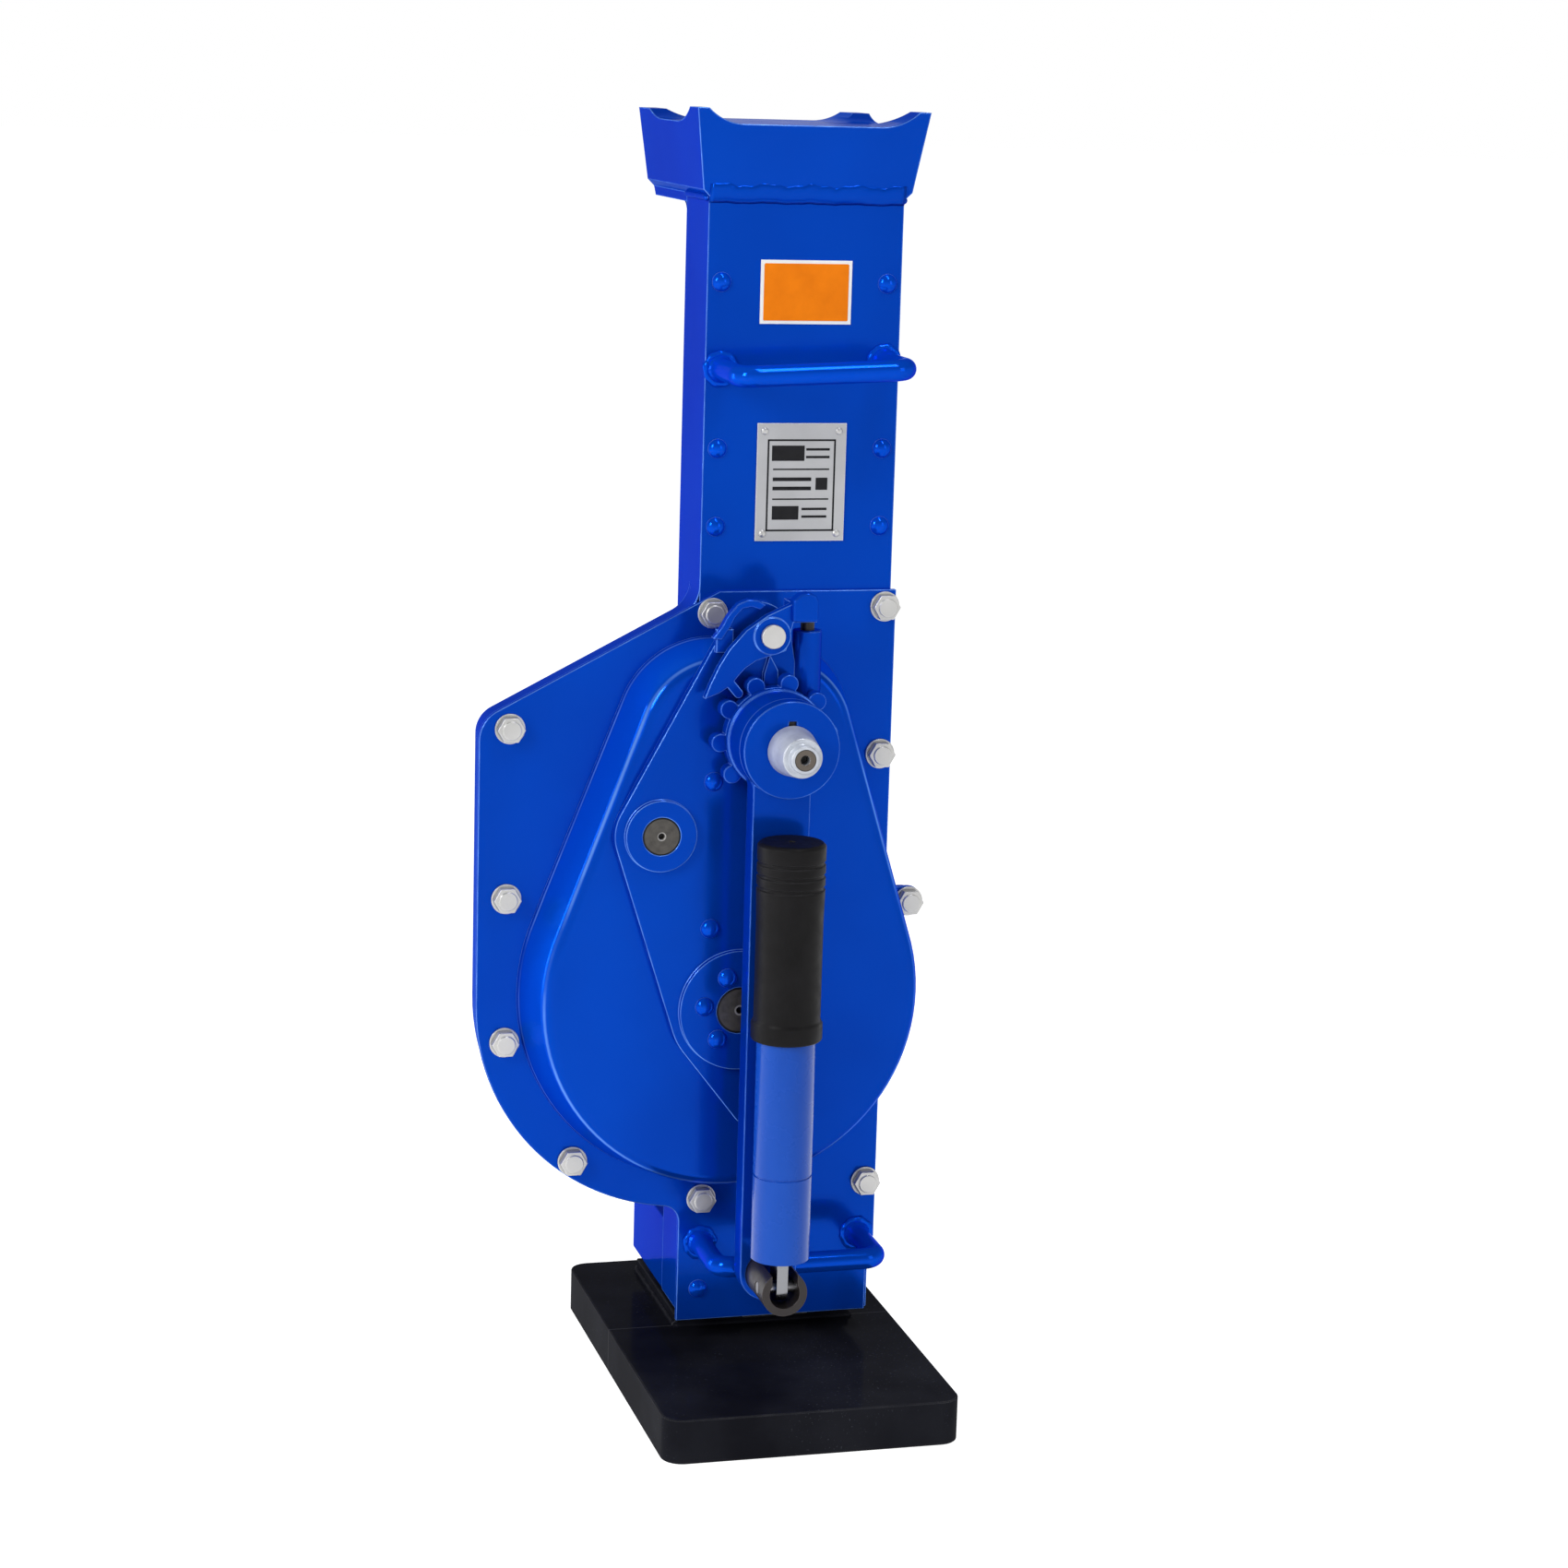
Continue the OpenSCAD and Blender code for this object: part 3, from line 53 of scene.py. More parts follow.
# %% [markdown]
# ## Camera
# The view is a long lens a good two metres away, a little left of the jack and above its middle,
# looking down by about twelve degrees. Place, turn and lens were worked out from known corners of the
# jack, so nothing is shifted or cropped: a camera that stands right needs no tricks.

# %% Camera
FRAME_MM = 36.0
FRAME_PX = 1700.0
FOCAL_PX = 3907.8
CAMERA_AT = Vector((-0.6184, -2.2720, 0.8969))
YAW, PITCH, ROLL = (math.radians(a) for a in (15.4260, 11.6076, 1.6944))

ahead = Vector((math.sin(YAW) * math.cos(PITCH), math.cos(YAW) * math.cos(PITCH), -math.sin(PITCH)))
level = Vector((math.cos(YAW), -math.sin(YAW), 0))
upward = level.cross(ahead)
right = level * math.cos(ROLL) + upward * math.sin(ROLL)
above = upward * math.cos(ROLL) - level * math.sin(ROLL)
lens = bpy.data.cameras.new("camera")
lens.sensor_width = FRAME_MM
lens.lens = FRAME_MM * FOCAL_PX / FRAME_PX
camera = bpy.data.objects.new("camera", lens)
camera.matrix_world = Matrix((right, above, -ahead)).transposed().to_4x4()
camera.location = CAMERA_AT
bpy.context.scene.collection.objects.link(camera)
bpy.context.scene.camera = camera
bpy.context.scene.view_settings.view_transform = "Standard"
print("lens", round(lens.lens, 2), "mm")

# %% [markdown]
# ## Node helper
# Every finish below is a small graph of shader nodes. It could be wired by hand in the editor, but a
# script has to be read, so short helpers make a node, join two sockets and blend two colours. A graph
# that is written like this can be followed from top to bottom, in the order the paint is layered.

# %% Node helper
MM = 0.001
SHARE_IN, COLOUR_A, COLOUR_B, COLOUR_OUT = 0, 6, 7, 2  # a Mix node's sockets for colours


class Graph:
    """A material's node tree with short names for the things done most."""

    def __init__(self, name):
        self.material = bpy.data.materials.new(name)
        self.material.use_nodes = True
        self.tree = self.material.node_tree
        self.shader = self.tree.nodes["Principled BSDF"]
        self.place = self.node("ShaderNodeTexCoord").outputs["Object"]

    def node(self, kind, **settings):
        made = self.tree.nodes.new(kind)
        for key, value in settings.items():
            setattr(made, key, value)
        return made

    def put(self, socket, value):
        """Links a socket to another, or writes a plain value on it."""
        if isinstance(value, bpy.types.NodeSocket):
            self.tree.links.new(value, socket)
        else:
            socket.default_value = value

    def noise(self, scale, detail=3.0, stretch=None, rough=0.5, where=None):
        made = self.node("ShaderNodeTexNoise")
        made.inputs["Scale"].default_value = scale
        made.inputs["Detail"].default_value = detail
        made.inputs["Roughness"].default_value = rough
        where = where or self.place
        if stretch:
            mapping = self.node("ShaderNodeMapping")
            mapping.inputs["Scale"].default_value = stretch
            self.put(mapping.inputs["Vector"], where)
            where = mapping.outputs["Vector"]
        self.put(made.inputs["Vector"], where)
        return made.outputs["Fac"]

    def spread(self, value, low, high, to_low=0.0, to_high=1.0):
        """Stretches the part of a value between low and high to the whole way between two others."""
        made = self.node("ShaderNodeMapRange")
        made.clamp = True
        for socket, number in zip(("From Min", "From Max", "To Min", "To Max"), (low, high, to_low, to_high)):
            made.inputs[socket].default_value = number
        self.put(made.inputs["Value"], value)
        return made.outputs["Result"]

    def math(self, operation, a, b=0.0):
        made = self.node("ShaderNodeMath", operation=operation)
        self.put(made.inputs[0], a)
        self.put(made.inputs[1], b)
        return made.outputs["Value"]

    def mix(self, share, a, b):
        made = self.node("ShaderNodeMix", data_type="RGBA")
        self.put(made.inputs[SHARE_IN], share)
        self.put(made.inputs[COLOUR_A], a if isinstance(a, bpy.types.NodeSocket) else (*a, 1))
        self.put(made.inputs[COLOUR_B], b if isinstance(b, bpy.types.NodeSocket) else (*b, 1))
        return made.outputs[COLOUR_OUT]

    def set(self, **sockets):
        for name, value in sockets.items():
            socket = self.shader.inputs[name.replace("_", " ")]
            if isinstance(value, tuple) and len(value) == 3:
                value = (*value, 1)
            self.put(socket, value)
        return self.material


print("graph helper ready")

# %% [markdown]
# ## Edges, corners and bands
# Finishes paint lighter edges, mostly as highlights, and shade in corners, so a finish has to know where
# they are. The Bevel node gives the surface's direction as if its edges were rounded: where that differs
# from the true direction, there is an edge. The Ambient Occlusion node tells how open a spot is. The
# mesh's own pointiness would be simpler, but it leaves patches on large flat faces with few corners.

# %% Edges, corners and bands
ROUNDING_SAMPLES = 8
CORNER_SAMPLES = 5


class Finish(Graph):
    """A graph that also knows edges, corners, distances and bumps."""

    def axis(self, letter):
        if not hasattr(self, "split"):
            self.split = self.node("ShaderNodeSeparateXYZ")
            self.put(self.split.inputs["Vector"], self.place)
        return self.split.outputs[letter]

    def radius_from(self, x, z):
        """Distance of a point from an axis along Y."""
        across = self.math("SUBTRACT", self.axis("X"), x)
        upward = self.math("SUBTRACT", self.axis("Z"), z)
        across_square = self.math("MULTIPLY", across, across)
        upward_square = self.math("MULTIPLY", upward, upward)
        return self.math("SQRT", self.math("ADD", across_square, upward_square))

    def band(self, value, middle, half, soft):
        """One near a value and nought away from it."""
        off = self.math("ABSOLUTE", self.math("SUBTRACT", value, middle))
        return self.spread(off, half, half + soft, 1.0, 0.0)

    def rounded(self, reach):
        """The surface's direction with its edges rounded by reach millimetres, made once for each finish."""
        if not hasattr(self, "soft_normal"):
            made = self.node("ShaderNodeBevel", samples=ROUNDING_SAMPLES)
            made.inputs["Radius"].default_value = reach * MM
            self.soft_normal = made.outputs["Normal"]
        return self.soft_normal

    def edges(self, reach=1.2, shown=(0.003, 0.05)):
        """One on an edge and nought on a flat: how far the rounded direction turns from the true one."""
        turned = self.node("ShaderNodeVectorMath", operation="DOT_PRODUCT")
        self.put(turned.inputs[0], self.rounded(reach))
        self.put(turned.inputs[1], self.node("ShaderNodeNewGeometry").outputs["Normal"])
        return self.spread(self.math("SUBTRACT", 1.0, turned.outputs["Value"]), *shown)

    def hollows(self, reach=1.5, shown=(0.3, 0.75)):
        """One deep in a corner and nought in the open."""
        opening = self.node("ShaderNodeAmbientOcclusion", samples=CORNER_SAMPLES)
        opening.inputs["Distance"].default_value = reach * MM
        return self.spread(opening.outputs["AO"], *shown, 1.0, 0.0)

    def bump(self, height, depth, strength=1.0, under=None):
        """Raises the surface, over another bump or over the rounded edges."""
        made = self.node("ShaderNodeBump")
        made.inputs["Strength"].default_value = strength
        made.inputs["Distance"].default_value = depth
        self.put(made.inputs["Height"], height)
        under = under or getattr(self, "soft_normal", None)
        if under:
            self.put(made.inputs["Normal"], under)
        return made.outputs["Normal"]


print("edge, corner and band masks ready")

# %% [markdown]
# ## Blue enamel
# The jack is sprayed with one glossy blue. Real enamel is never one flat colour: it varies slowly from
# place to place, carries a fine orange peel and a few dust nibs. So the colour is blended by slow noise,
# and the gloss varies with finer noise. Edges, chosen lines along Y and a lit side wall get a lighter
# blue painted in, as highlights and as the light that falls there. Its highlights are light blue and
# hardly ever white, as a paint with metal flakes shows them, so the enamel is partly metallic, and its
# only white light comes from a thin coat.

# %% Blue enamel
ENAMEL = (0.0008, 0.056, 0.48)
ENAMEL_DEEP = (0.0006, 0.044, 0.40)
ENAMEL_HIGHLIGHT = (0.16, 0.38, 1.0)
ENAMEL_LIT_SIDE = (0.0012, 0.094, 0.74)
MIRROR_TINT = (0.04, 0.25, 1.0)
SIDE_FADE = 6 * MM


def enamel(name, lighter=1.0, peel=260.0, cast=0.0, roughness=(0.13, 0.22), rims=(), side=None):
    """Blue paint. rims are places along Y with a painted highlight line, side is where a side wall painted
    lighter as lit starts and ends.
    """
    g = Finish(name)
    base = tuple(min(1.0, c * lighter) for c in ENAMEL)
    deep = tuple(min(1.0, c * lighter) for c in ENAMEL_DEEP)
    colour = g.mix(g.spread(g.noise(6.0), 0.3, 0.62), deep, base)
    # Painted light: the side wall gets a lighter blue, as the light that falls on it.
    if side:
        front, back = side
        wall = g.math("MULTIPLY", g.spread(g.axis("Y"), front, front + SIDE_FADE),
                      g.spread(g.axis("Y"), back - SIDE_FADE, back, 1.0, 0.0))
        colour = g.mix(g.math("MULTIPLY", wall, 0.85), colour, ENAMEL_LIT_SIDE)
    # Painted highlights: edges and the rim lines get a lighter blue.
    painted_highlight = g.math("MULTIPLY", g.edges(), g.spread(g.noise(60.0), 0.3, 0.65, 0.45, 0.95))
    for rim in rims:
        line_here = g.band(g.axis("Y"), rim, 0.3 * MM, 0.9 * MM)
        broken_up = g.spread(g.noise(14.0), 0.35, 0.6, 0.1, 0.7)
        painted_highlight = g.math("MAXIMUM", painted_highlight, g.math("MULTIPLY", line_here, broken_up))
    colour = g.mix(painted_highlight, colour, ENAMEL_HIGHLIGHT)
    nibs = g.spread(g.noise(900.0, 1.0), 0.78, 0.82)
    normal = g.bump(g.noise(peel, 2.0), 0.03 * MM, 0.6)
    if cast:
        normal = g.bump(g.noise(95.0, 4.0), cast * MM, 0.7, normal)
    normal = g.bump(nibs, 0.05 * MM, 0.5, normal)
    gloss = g.spread(g.noise(35.0, 4.0), 0.3, 0.7, *roughness)
    return g.set(Base_Color=colour, Metallic=0.4, Roughness=gloss, Normal=normal, Coat_Weight=0.04,
                 Coat_Roughness=0.04, Specular_IOR_Level=0.0, Specular_Tint=MIRROR_TINT)


print("enamel ready")

# %% [markdown]
# ## The jack's blues
# Sheet, castings and forgings took the same paint differently. Castings keep a soft unevenness under
# it, so they get one more bump, while the round bars of the carrying handles are smoother, and they and
# the rivets are painted lighter as the light they catch. On the pressed cover the bends get painted
# highlight lines all the way round and its side wall is painted lighter as lit, and the crank's hub gets
# one painted highlight line. Those follow places along Y, so a band by that coordinate draws them more
# evenly than an edge mask could.

# %% The jack's blues
cover_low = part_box("dome_cover")[0]
# Places of painted highlight lines on the cover and the crank's hub, and of the cover's side wall painted
# lighter as lit.
COVER_RIMS = (cover_low.y + 3.2 * MM, -22.5 * MM)
COVER_LIT_WALL = (cover_low.y + 1 * MM, -20 * MM)
CRANK_RIM = -112.5 * MM
BLUES = {
    "casing_blue": enamel("casing_blue", cast=0.06),
    "plate_blue": enamel("plate_blue"),
    "cover_blue": enamel("cover_blue", 1.02, cast=0.06, rims=COVER_RIMS, side=COVER_LIT_WALL),
    "bearing_blue": enamel("bearing_blue", cast=0.05),
    # Handles and rivets are painted lighter, as the light their round tops catch.
    "carry_blue": enamel("carry_blue", 1.35, peel=420.0, roughness=(0.09, 0.15)),
    "crank_blue": enamel("crank_blue", 0.98, cast=0.08, rims=(CRANK_RIM,)),
    "rivet_blue": enamel("rivet_blue", 1.35, peel=500.0, roughness=(0.08, 0.14)),
    "ratchet_blue": enamel("ratchet_blue", cast=0.08),
}
print("blues", len(BLUES))

# %% [markdown]
# ## The handle's blue
# The handle rod has its own coating: lighter, smoother and more satin than the casing's enamel. At its
# lower end the flat tongue is bare steel. The two could be two materials on chosen faces, but the
# colour can change with height as well: object coordinates are metres in the model's own frame, which
# makes such a limit easy to place and leaves the mesh alone.

# %% Handle coating
ROD_BLUE, ROD_BLUE_LIGHT, TONGUE_STEEL = (0.005, 0.064, 0.44), (0.010, 0.088, 0.54), (0.24, 0.245, 0.26)
rod_foot_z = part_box("handle_rod")[0].z + 29 * MM


def rod_coating():
    g = Finish("rod_blue")
    bare = g.spread(g.axis("Z"), rod_foot_z - 0.1 * MM, rod_foot_z, 1.0, 0.0)
    light = g.spread(g.noise(18.0, 3.0, (1, 1, 0.25)), 0.35, 0.65)
    colour = g.mix(bare, g.mix(light, ROD_BLUE, ROD_BLUE_LIGHT), TONGUE_STEEL)
    gloss = g.spread(g.noise(45.0, 4.0), 0.3, 0.7, 0.2, 0.32)
    return g.set(Base_Color=colour, Roughness=gloss, Metallic=bare,
                 Normal=g.bump(g.noise(380.0, 2.0), 0.03 * MM, 0.6), Coat_Weight=0.1, Coat_Roughness=0.1,
                 Specular_IOR_Level=0.45, Specular_Tint=(0.25, 0.45, 1.0))


BLUES["rod_blue"] = rod_coating()
print("rod foot at", round(rod_foot_z, 4))

# %% [markdown]
# ## Black base
# The base plate is a thick plate in semi-gloss black. It is the part that gets stood on and scraped:
# the paint is a little rough, its edges are painted grey, partly as paint rubbed thin and partly as a
# painted highlight, and pale dust lies on it in patches. A faint seam runs across it from side to side.
# A groove that fine needs no geometry, so a narrow band in the shader colours and sinks it.

# %% Black base
BLACK, BLACK_WORN = (0.007, 0.0073, 0.011), (0.017, 0.018, 0.024)
RUBBED_AND_HIGHLIGHT_GREY, DUST, SEAM_GREY = (0.17, 0.17, 0.18), (0.12, 0.13, 0.16), (0.07, 0.072, 0.08)
BASE_SEAM_Y = 17 * MM


def base_paint():
    g = Finish("base_black")
    colour = g.mix(g.spread(g.noise(14.0, 5.0), 0.35, 0.7), BLACK, BLACK_WORN)
    # Edges painted grey: partly rubbed paint, partly a painted highlight.
    rubbed_and_highlit = g.math("MULTIPLY", g.edges(1.3), g.spread(g.noise(40.0, 4.0), 0.35, 0.65, 0.25, 0.9))
    colour = g.mix(rubbed_and_highlit, colour, RUBBED_AND_HIGHLIGHT_GREY)
    dust = g.math("MULTIPLY", g.spread(g.noise(650.0, 2.0), 0.66, 0.78), g.spread(g.noise(11.0), 0.4, 0.6))
    colour = g.mix(g.math("MULTIPLY", dust, 0.5), colour, DUST)
    seam = g.band(g.axis("Y"), BASE_SEAM_Y, 0.25 * MM, 0.35 * MM)
    colour = g.mix(g.math("MULTIPLY", seam, 0.8), colour, SEAM_GREY)
    normal = g.bump(g.noise(150.0, 5.0, rough=0.6), 0.10 * MM, 0.6)
    normal = g.bump(g.noise(1100.0, 2.0), 0.04 * MM, 0.5, normal)
    normal = g.bump(g.math("SUBTRACT", 0.0, seam), 0.3 * MM, 0.8, normal)
    gloss = g.spread(g.noise(55.0, 5.0), 0.3, 0.7, 0.3, 0.46)
    return g.set(Base_Color=colour, Roughness=gloss, Normal=normal, Specular_IOR_Level=0.0, Coat_Weight=0.06,
                 Coat_Roughness=0.12)


OTHERS = {"base_black": base_paint()}
print("base paint ready")

# %% [markdown]
# ## Bare and plated metals
# Zinc on the bolts is light with a faint warm tint, and shade is painted darker into its hollows, as on
# the black socket. Gears and shafts are cut steel with an uneven sheen, and the socket is black steel.
# Every metal is painted brighter on its edges as a highlight. They differ only in colour, gloss and
# grain, so one function makes them all, and a table tells them apart.

# %% Metals
CORNER_SHADE_BLACK = (0.02, 0.02, 0.022)


def metal(name, light, dark, roughness, grain, stretch=None, grain_depth=0.04, patches=20.0, metallic=1.0,
          corner_shade=0.0):
    """Metal in soft patches of two colours, painted brighter on its edges as a highlight. grime paints shade
    darker into the corners.
    """
    g = Finish(name)
    colour = g.mix(g.spread(g.noise(patches, 4.0), 0.3, 0.7), dark, light)
    # Painted highlight: edges get a brighter copy of the light colour.
    bright_edges = g.math("MULTIPLY", g.edges(0.7), 0.8)
    colour = g.mix(bright_edges, colour, tuple(min(1.0, c * 1.9) for c in light))
    # Painted shade: corners are darkened by the Ambient Occlusion mask.
    if corner_shade:
        colour = g.mix(g.math("MULTIPLY", g.hollows(), corner_shade), colour, CORNER_SHADE_BLACK)
    gloss = g.spread(g.noise(patches * 4, 4.0), 0.3, 0.7, *roughness)
    normal = g.bump(g.noise(grain, 3.0, stretch), grain_depth * MM, 0.7)
    return g.set(Base_Color=colour, Roughness=gloss, Metallic=metallic, Normal=normal)


METALS = {  # light colour, dark colour, roughness, and what differs from a plain metal
    "zinc": ((0.60, 0.595, 0.58), (0.46, 0.46, 0.45), (0.3, 0.42),
             dict(grain=400.0, grain_depth=0.01, patches=30.0, metallic=0.65, corner_shade=0.6)),
    "shaft_steel": ((0.45, 0.45, 0.46), (0.3, 0.3, 0.32), (0.3, 0.45), dict(grain=800.0)),
    "machined_steel": ((0.42, 0.41, 0.39), (0.22, 0.21, 0.2), (0.28, 0.5),
                       dict(grain=500.0, stretch=(1, 0.15, 1), grain_depth=0.05, patches=25.0)),
    "inner_steel": ((0.34, 0.34, 0.36), (0.2, 0.2, 0.22), (0.4, 0.6), dict(grain=240.0)),
    "spring_steel": ((0.34, 0.34, 0.36), (0.2, 0.2, 0.22), (0.3, 0.45), dict(grain=900.0)),
    "bronze": ((0.62, 0.42, 0.19), (0.42, 0.26, 0.1), (0.3, 0.48), dict(grain=420.0)),
    "black_steel": ((0.030, 0.024, 0.024), (0.015, 0.012, 0.012), (0.3, 0.46),
                    dict(grain=520.0, grain_depth=0.07, patches=35.0, metallic=0.4, corner_shade=0.4)),
}
for name, (light, dark, roughness, differs) in METALS.items():
    OTHERS[name] = metal(name, light, dark, roughness, **differs)
print("metals", len(METALS))

# %% [markdown]
# ## Turned shaft ends
# Two shafts end in the bearing plate, and their faces were turned on a lathe: fine rings round a centre
# hole, and a dark oily rim where the shaft meets its bearing. The centre hole is painted black as its
# shade, with a painted highlight ring round it. Rings could be cut as geometry, which is heavy for
# something so fine. A few math nodes give the distance from the axis, and noise along that distance
# makes rings that are round by themselves, so no texture has to be lined up.

# %% Turned shaft ends
SHAFT_BROWN, OILY_BLACK = (0.105, 0.098, 0.088), (0.010, 0.010, 0.012)
HOLE_RIM_HIGHLIGHT, HOLE_SHADE_BLACK = (0.5, 0.49, 0.47), (0.004, 0.004, 0.004)


def axis_of(node):
    """The axis of a turned part along Y, and the radius of its front end."""
    low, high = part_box(node)
    x, z = (low.x + high.x) / 2, (low.z + high.z) / 2
    front = [v.co for v in nodes[node].data.vertices if v.co.y < low.y + 0.5 * MM]
    return x, z, max(math.hypot(p.x - x, p.z - z) for p in front)


def turned_end(node):
    g = Finish(node + "_end")
    x, z, radius = axis_of(node)
    reach = g.radius_from(x, z)
    rings = g.node("ShaderNodeCombineXYZ")
    g.put(rings.inputs["X"], reach)
    lathe = g.noise(2600.0, 2.0, where=rings.outputs["Vector"])
    colour = g.mix(g.spread(lathe, 0.3, 0.7), tuple(c * 0.72 for c in SHAFT_BROWN), SHAFT_BROWN)
    colour = g.mix(g.spread(g.noise(220.0, 4.0), 0.4, 0.75, 0.0, 0.4), colour, OILY_BLACK)
    colour = g.mix(g.spread(reach, 0.9 * radius, 0.93 * radius), colour, OILY_BLACK)
    # Painted highlight: a light ring round the centre hole.
    painted_rim_highlight = g.band(reach, 0.19 * radius, 0.02 * radius, 0.03 * radius)
    colour = g.mix(g.math("MULTIPLY", painted_rim_highlight, 0.7), colour, HOLE_RIM_HIGHLIGHT)
    # Painted shade: the centre hole is a black disc.
    colour = g.mix(g.spread(reach, 0.13 * radius, 0.15 * radius, 1.0, 0.0), colour, HOLE_SHADE_BLACK)
    return g.set(Base_Color=colour, Metallic=0.6, Roughness=g.spread(lathe, 0.3, 0.7, 0.3, 0.46),
                 Normal=g.bump(lathe, 0.05 * MM, 0.7))


SHAFT_ENDS = {node: turned_end(node) for node in ("middle_shaft", "output_shaft")}
print("shaft ends", len(SHAFT_ENDS))

# %% [markdown]
# ## The crank's nose
# The light cone on the crank's hub is turned steel too, with a brown sunk ring on its face and a centre
# hole. The groove round the ring is painted near black as its shade, and the hole is painted black as
# its shade. Its rings run along the cone as well as across the face, so the noise follows the radius
# and Y together. Masks by radius, held to the front face, place the ring and the hole.

# %% The crank's nose
NOSE_DARK, NOSE_LIGHT, NOSE_SPECK = (0.42, 0.45, 0.52), (0.64, 0.68, 0.75), (0.30, 0.32, 0.36)
RING_BROWN, GROOVE_SHADE = (0.115, 0.095, 0.078), (0.02, 0.018, 0.016)


def nose_steel():
    g = Finish("spigot_steel")
    x, z, _ = axis_of("crank_spigot")
    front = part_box("crank_spigot")[0].y
    reach = g.radius_from(x, z)
    rings = g.node("ShaderNodeCombineXYZ")
    g.put(rings.inputs["X"], g.math("ADD", reach, g.axis("Y")))
    lathe = g.noise(1800.0, 2.0, where=rings.outputs["Vector"])
    colour = g.mix(g.spread(g.noise(70.0, 5.0), 0.3, 0.7), NOSE_DARK, NOSE_LIGHT)
    colour = g.mix(g.spread(g.noise(420.0, 5.0), 0.62, 0.75, 0.0, 0.45), colour, NOSE_SPECK)
    on_face = g.spread(g.axis("Y"), front + 0.4 * MM, front + 0.6 * MM, 1.0, 0.0)
    inner = g.math("MULTIPLY", on_face, g.spread(reach, 6.6 * MM, 6.8 * MM, 1.0, 0.0))
    colour = g.mix(inner, colour, RING_BROWN)
    # Painted shade: a near-black line in the groove round the ring.
    groove = g.math("MULTIPLY", on_face, g.band(reach, 6.7 * MM, 0.15 * MM, 0.2 * MM))
    colour = g.mix(groove, colour, GROOVE_SHADE)
    # Painted shade: the centre hole is a black disc.
    colour = g.mix(g.spread(reach, 2.9 * MM, 3.1 * MM, 1.0, 0.0), colour, HOLE_SHADE_BLACK)
    normal = g.bump(lathe, 0.04 * MM, 0.6)
    normal = g.bump(g.math("SUBTRACT", 0.0, inner), 0.4 * MM, 0.8, normal)
    gloss = g.spread(g.noise(90.0, 4.0), 0.3, 0.7, 0.28, 0.45)
    return g.set(Base_Color=colour, Metallic=0.35, Roughness=gloss, Normal=normal)


OTHERS["spigot_steel"] = nose_steel()
print("nose ready")

# %% [markdown]
# ## Rubber grip
# The grip is matte black rubber with the fine pores of moulding. Black rubber still needs two blacks
# and a grey on its edges, partly wear and partly a painted highlight, or it turns into a hole in the
# picture, and its mirror is held low.

# %% Rubber grip
RUBBER, RUBBER_PALE, RUBBER_EDGE_WEAR_AND_HIGHLIGHT = (0.004, 0.0038, 0.004), (0.008, 0.0075, 0.0085), (0.07, 0.07, 0.075)


def rubber():
    g = Finish("grip_rubber")
    colour = g.mix(g.spread(g.noise(40.0, 5.0), 0.3, 0.7), RUBBER, RUBBER_PALE)
    # Edges painted grey: partly wear, partly a painted highlight.
    colour = g.mix(g.math("MULTIPLY", g.edges(0.8), 0.7), colour, RUBBER_EDGE_WEAR_AND_HIGHLIGHT)
    normal = g.bump(g.noise(1400.0, 2.0), 0.06 * MM, 0.6)
    gloss = g.spread(g.noise(120.0, 4.0), 0.3, 0.7, 0.42, 0.56)
    return g.set(Base_Color=colour, Roughness=gloss, Normal=normal, Specular_IOR_Level=0.12)


OTHERS["grip_rubber"] = rubber()
print("rubber ready")

# %% [markdown]
# ## Orange plate and silver plate
# The orange plate is a white sheet with an orange field printed on it, so it needs two matte inks. The
# silver plate is brushed aluminium: noise that is stretched along X gives strokes from left to right.
# An image could hold the print, but ink as a material of its own stays sharp from any distance.

# %% Plates' finishes


def printed(name, light, dark, roughness=(0.35, 0.5)):
    g = Finish(name)
    colour = g.mix(g.spread(g.noise(90.0, 4.0), 0.3, 0.7), dark, light)
    return g.set(Base_Color=colour, Roughness=g.spread(g.noise(200.0, 3.0), 0.3, 0.7, *roughness),
                 Normal=g.bump(g.noise(900.0, 2.0), 0.03 * MM, 0.5), Specular_IOR_Level=0.1)


OTHERS["label_orange"] = printed("label_white", (0.92, 0.92, 0.92), (0.86, 0.86, 0.86))
OTHERS["name_silver"] = metal("name_silver", (0.50, 0.505, 0.52), (0.40, 0.405, 0.42), (0.38, 0.5),
                              grain=500.0, stretch=(0.06, 1, 1), grain_depth=0.03, patches=30.0, metallic=0.6)
ORANGE_INK = printed("label_orange", (0.95, 0.235, 0.004), (0.86, 0.20, 0.003))
BLACK_INK = printed("print_black", (0.012, 0.012, 0.014), (0.02, 0.02, 0.022), (0.4, 0.55))
print("plates' finishes ready")

# %% [markdown]
# ## Give each solid its finish
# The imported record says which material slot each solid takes. The solid keeps its slot, and the slot's
# material is exchanged for the finish made above. Only the two shafts differ from the others of their
# slot, because their ends were made to measure.

# %% Assign finishes
FINISHES = {**BLUES, **OTHERS}
slot_of = {part["node"]: part["material_slot"] for part in frame["record"]["subparts"]}
for name, solid in nodes.items():
    solid.data.materials.clear()
    solid.data.materials.append(SHAFT_ENDS.get(name, FINISHES[slot_of[name]]))
print("finishes given", len(slot_of))

# %% [markdown]
# ## Ease the edges
# Solids from a construction model have knife edges, and a knife edge never catches light. Four modifiers
# do the work and leave the mesh itself alone: Weld joins the corners that were split for export,
# Decimate merges the triangles of each flat face, Bevel rounds what is left sharp, and Weighted Normal
# keeps the flat faces flat. Cast and forged parts get wider roundings than cut plates.

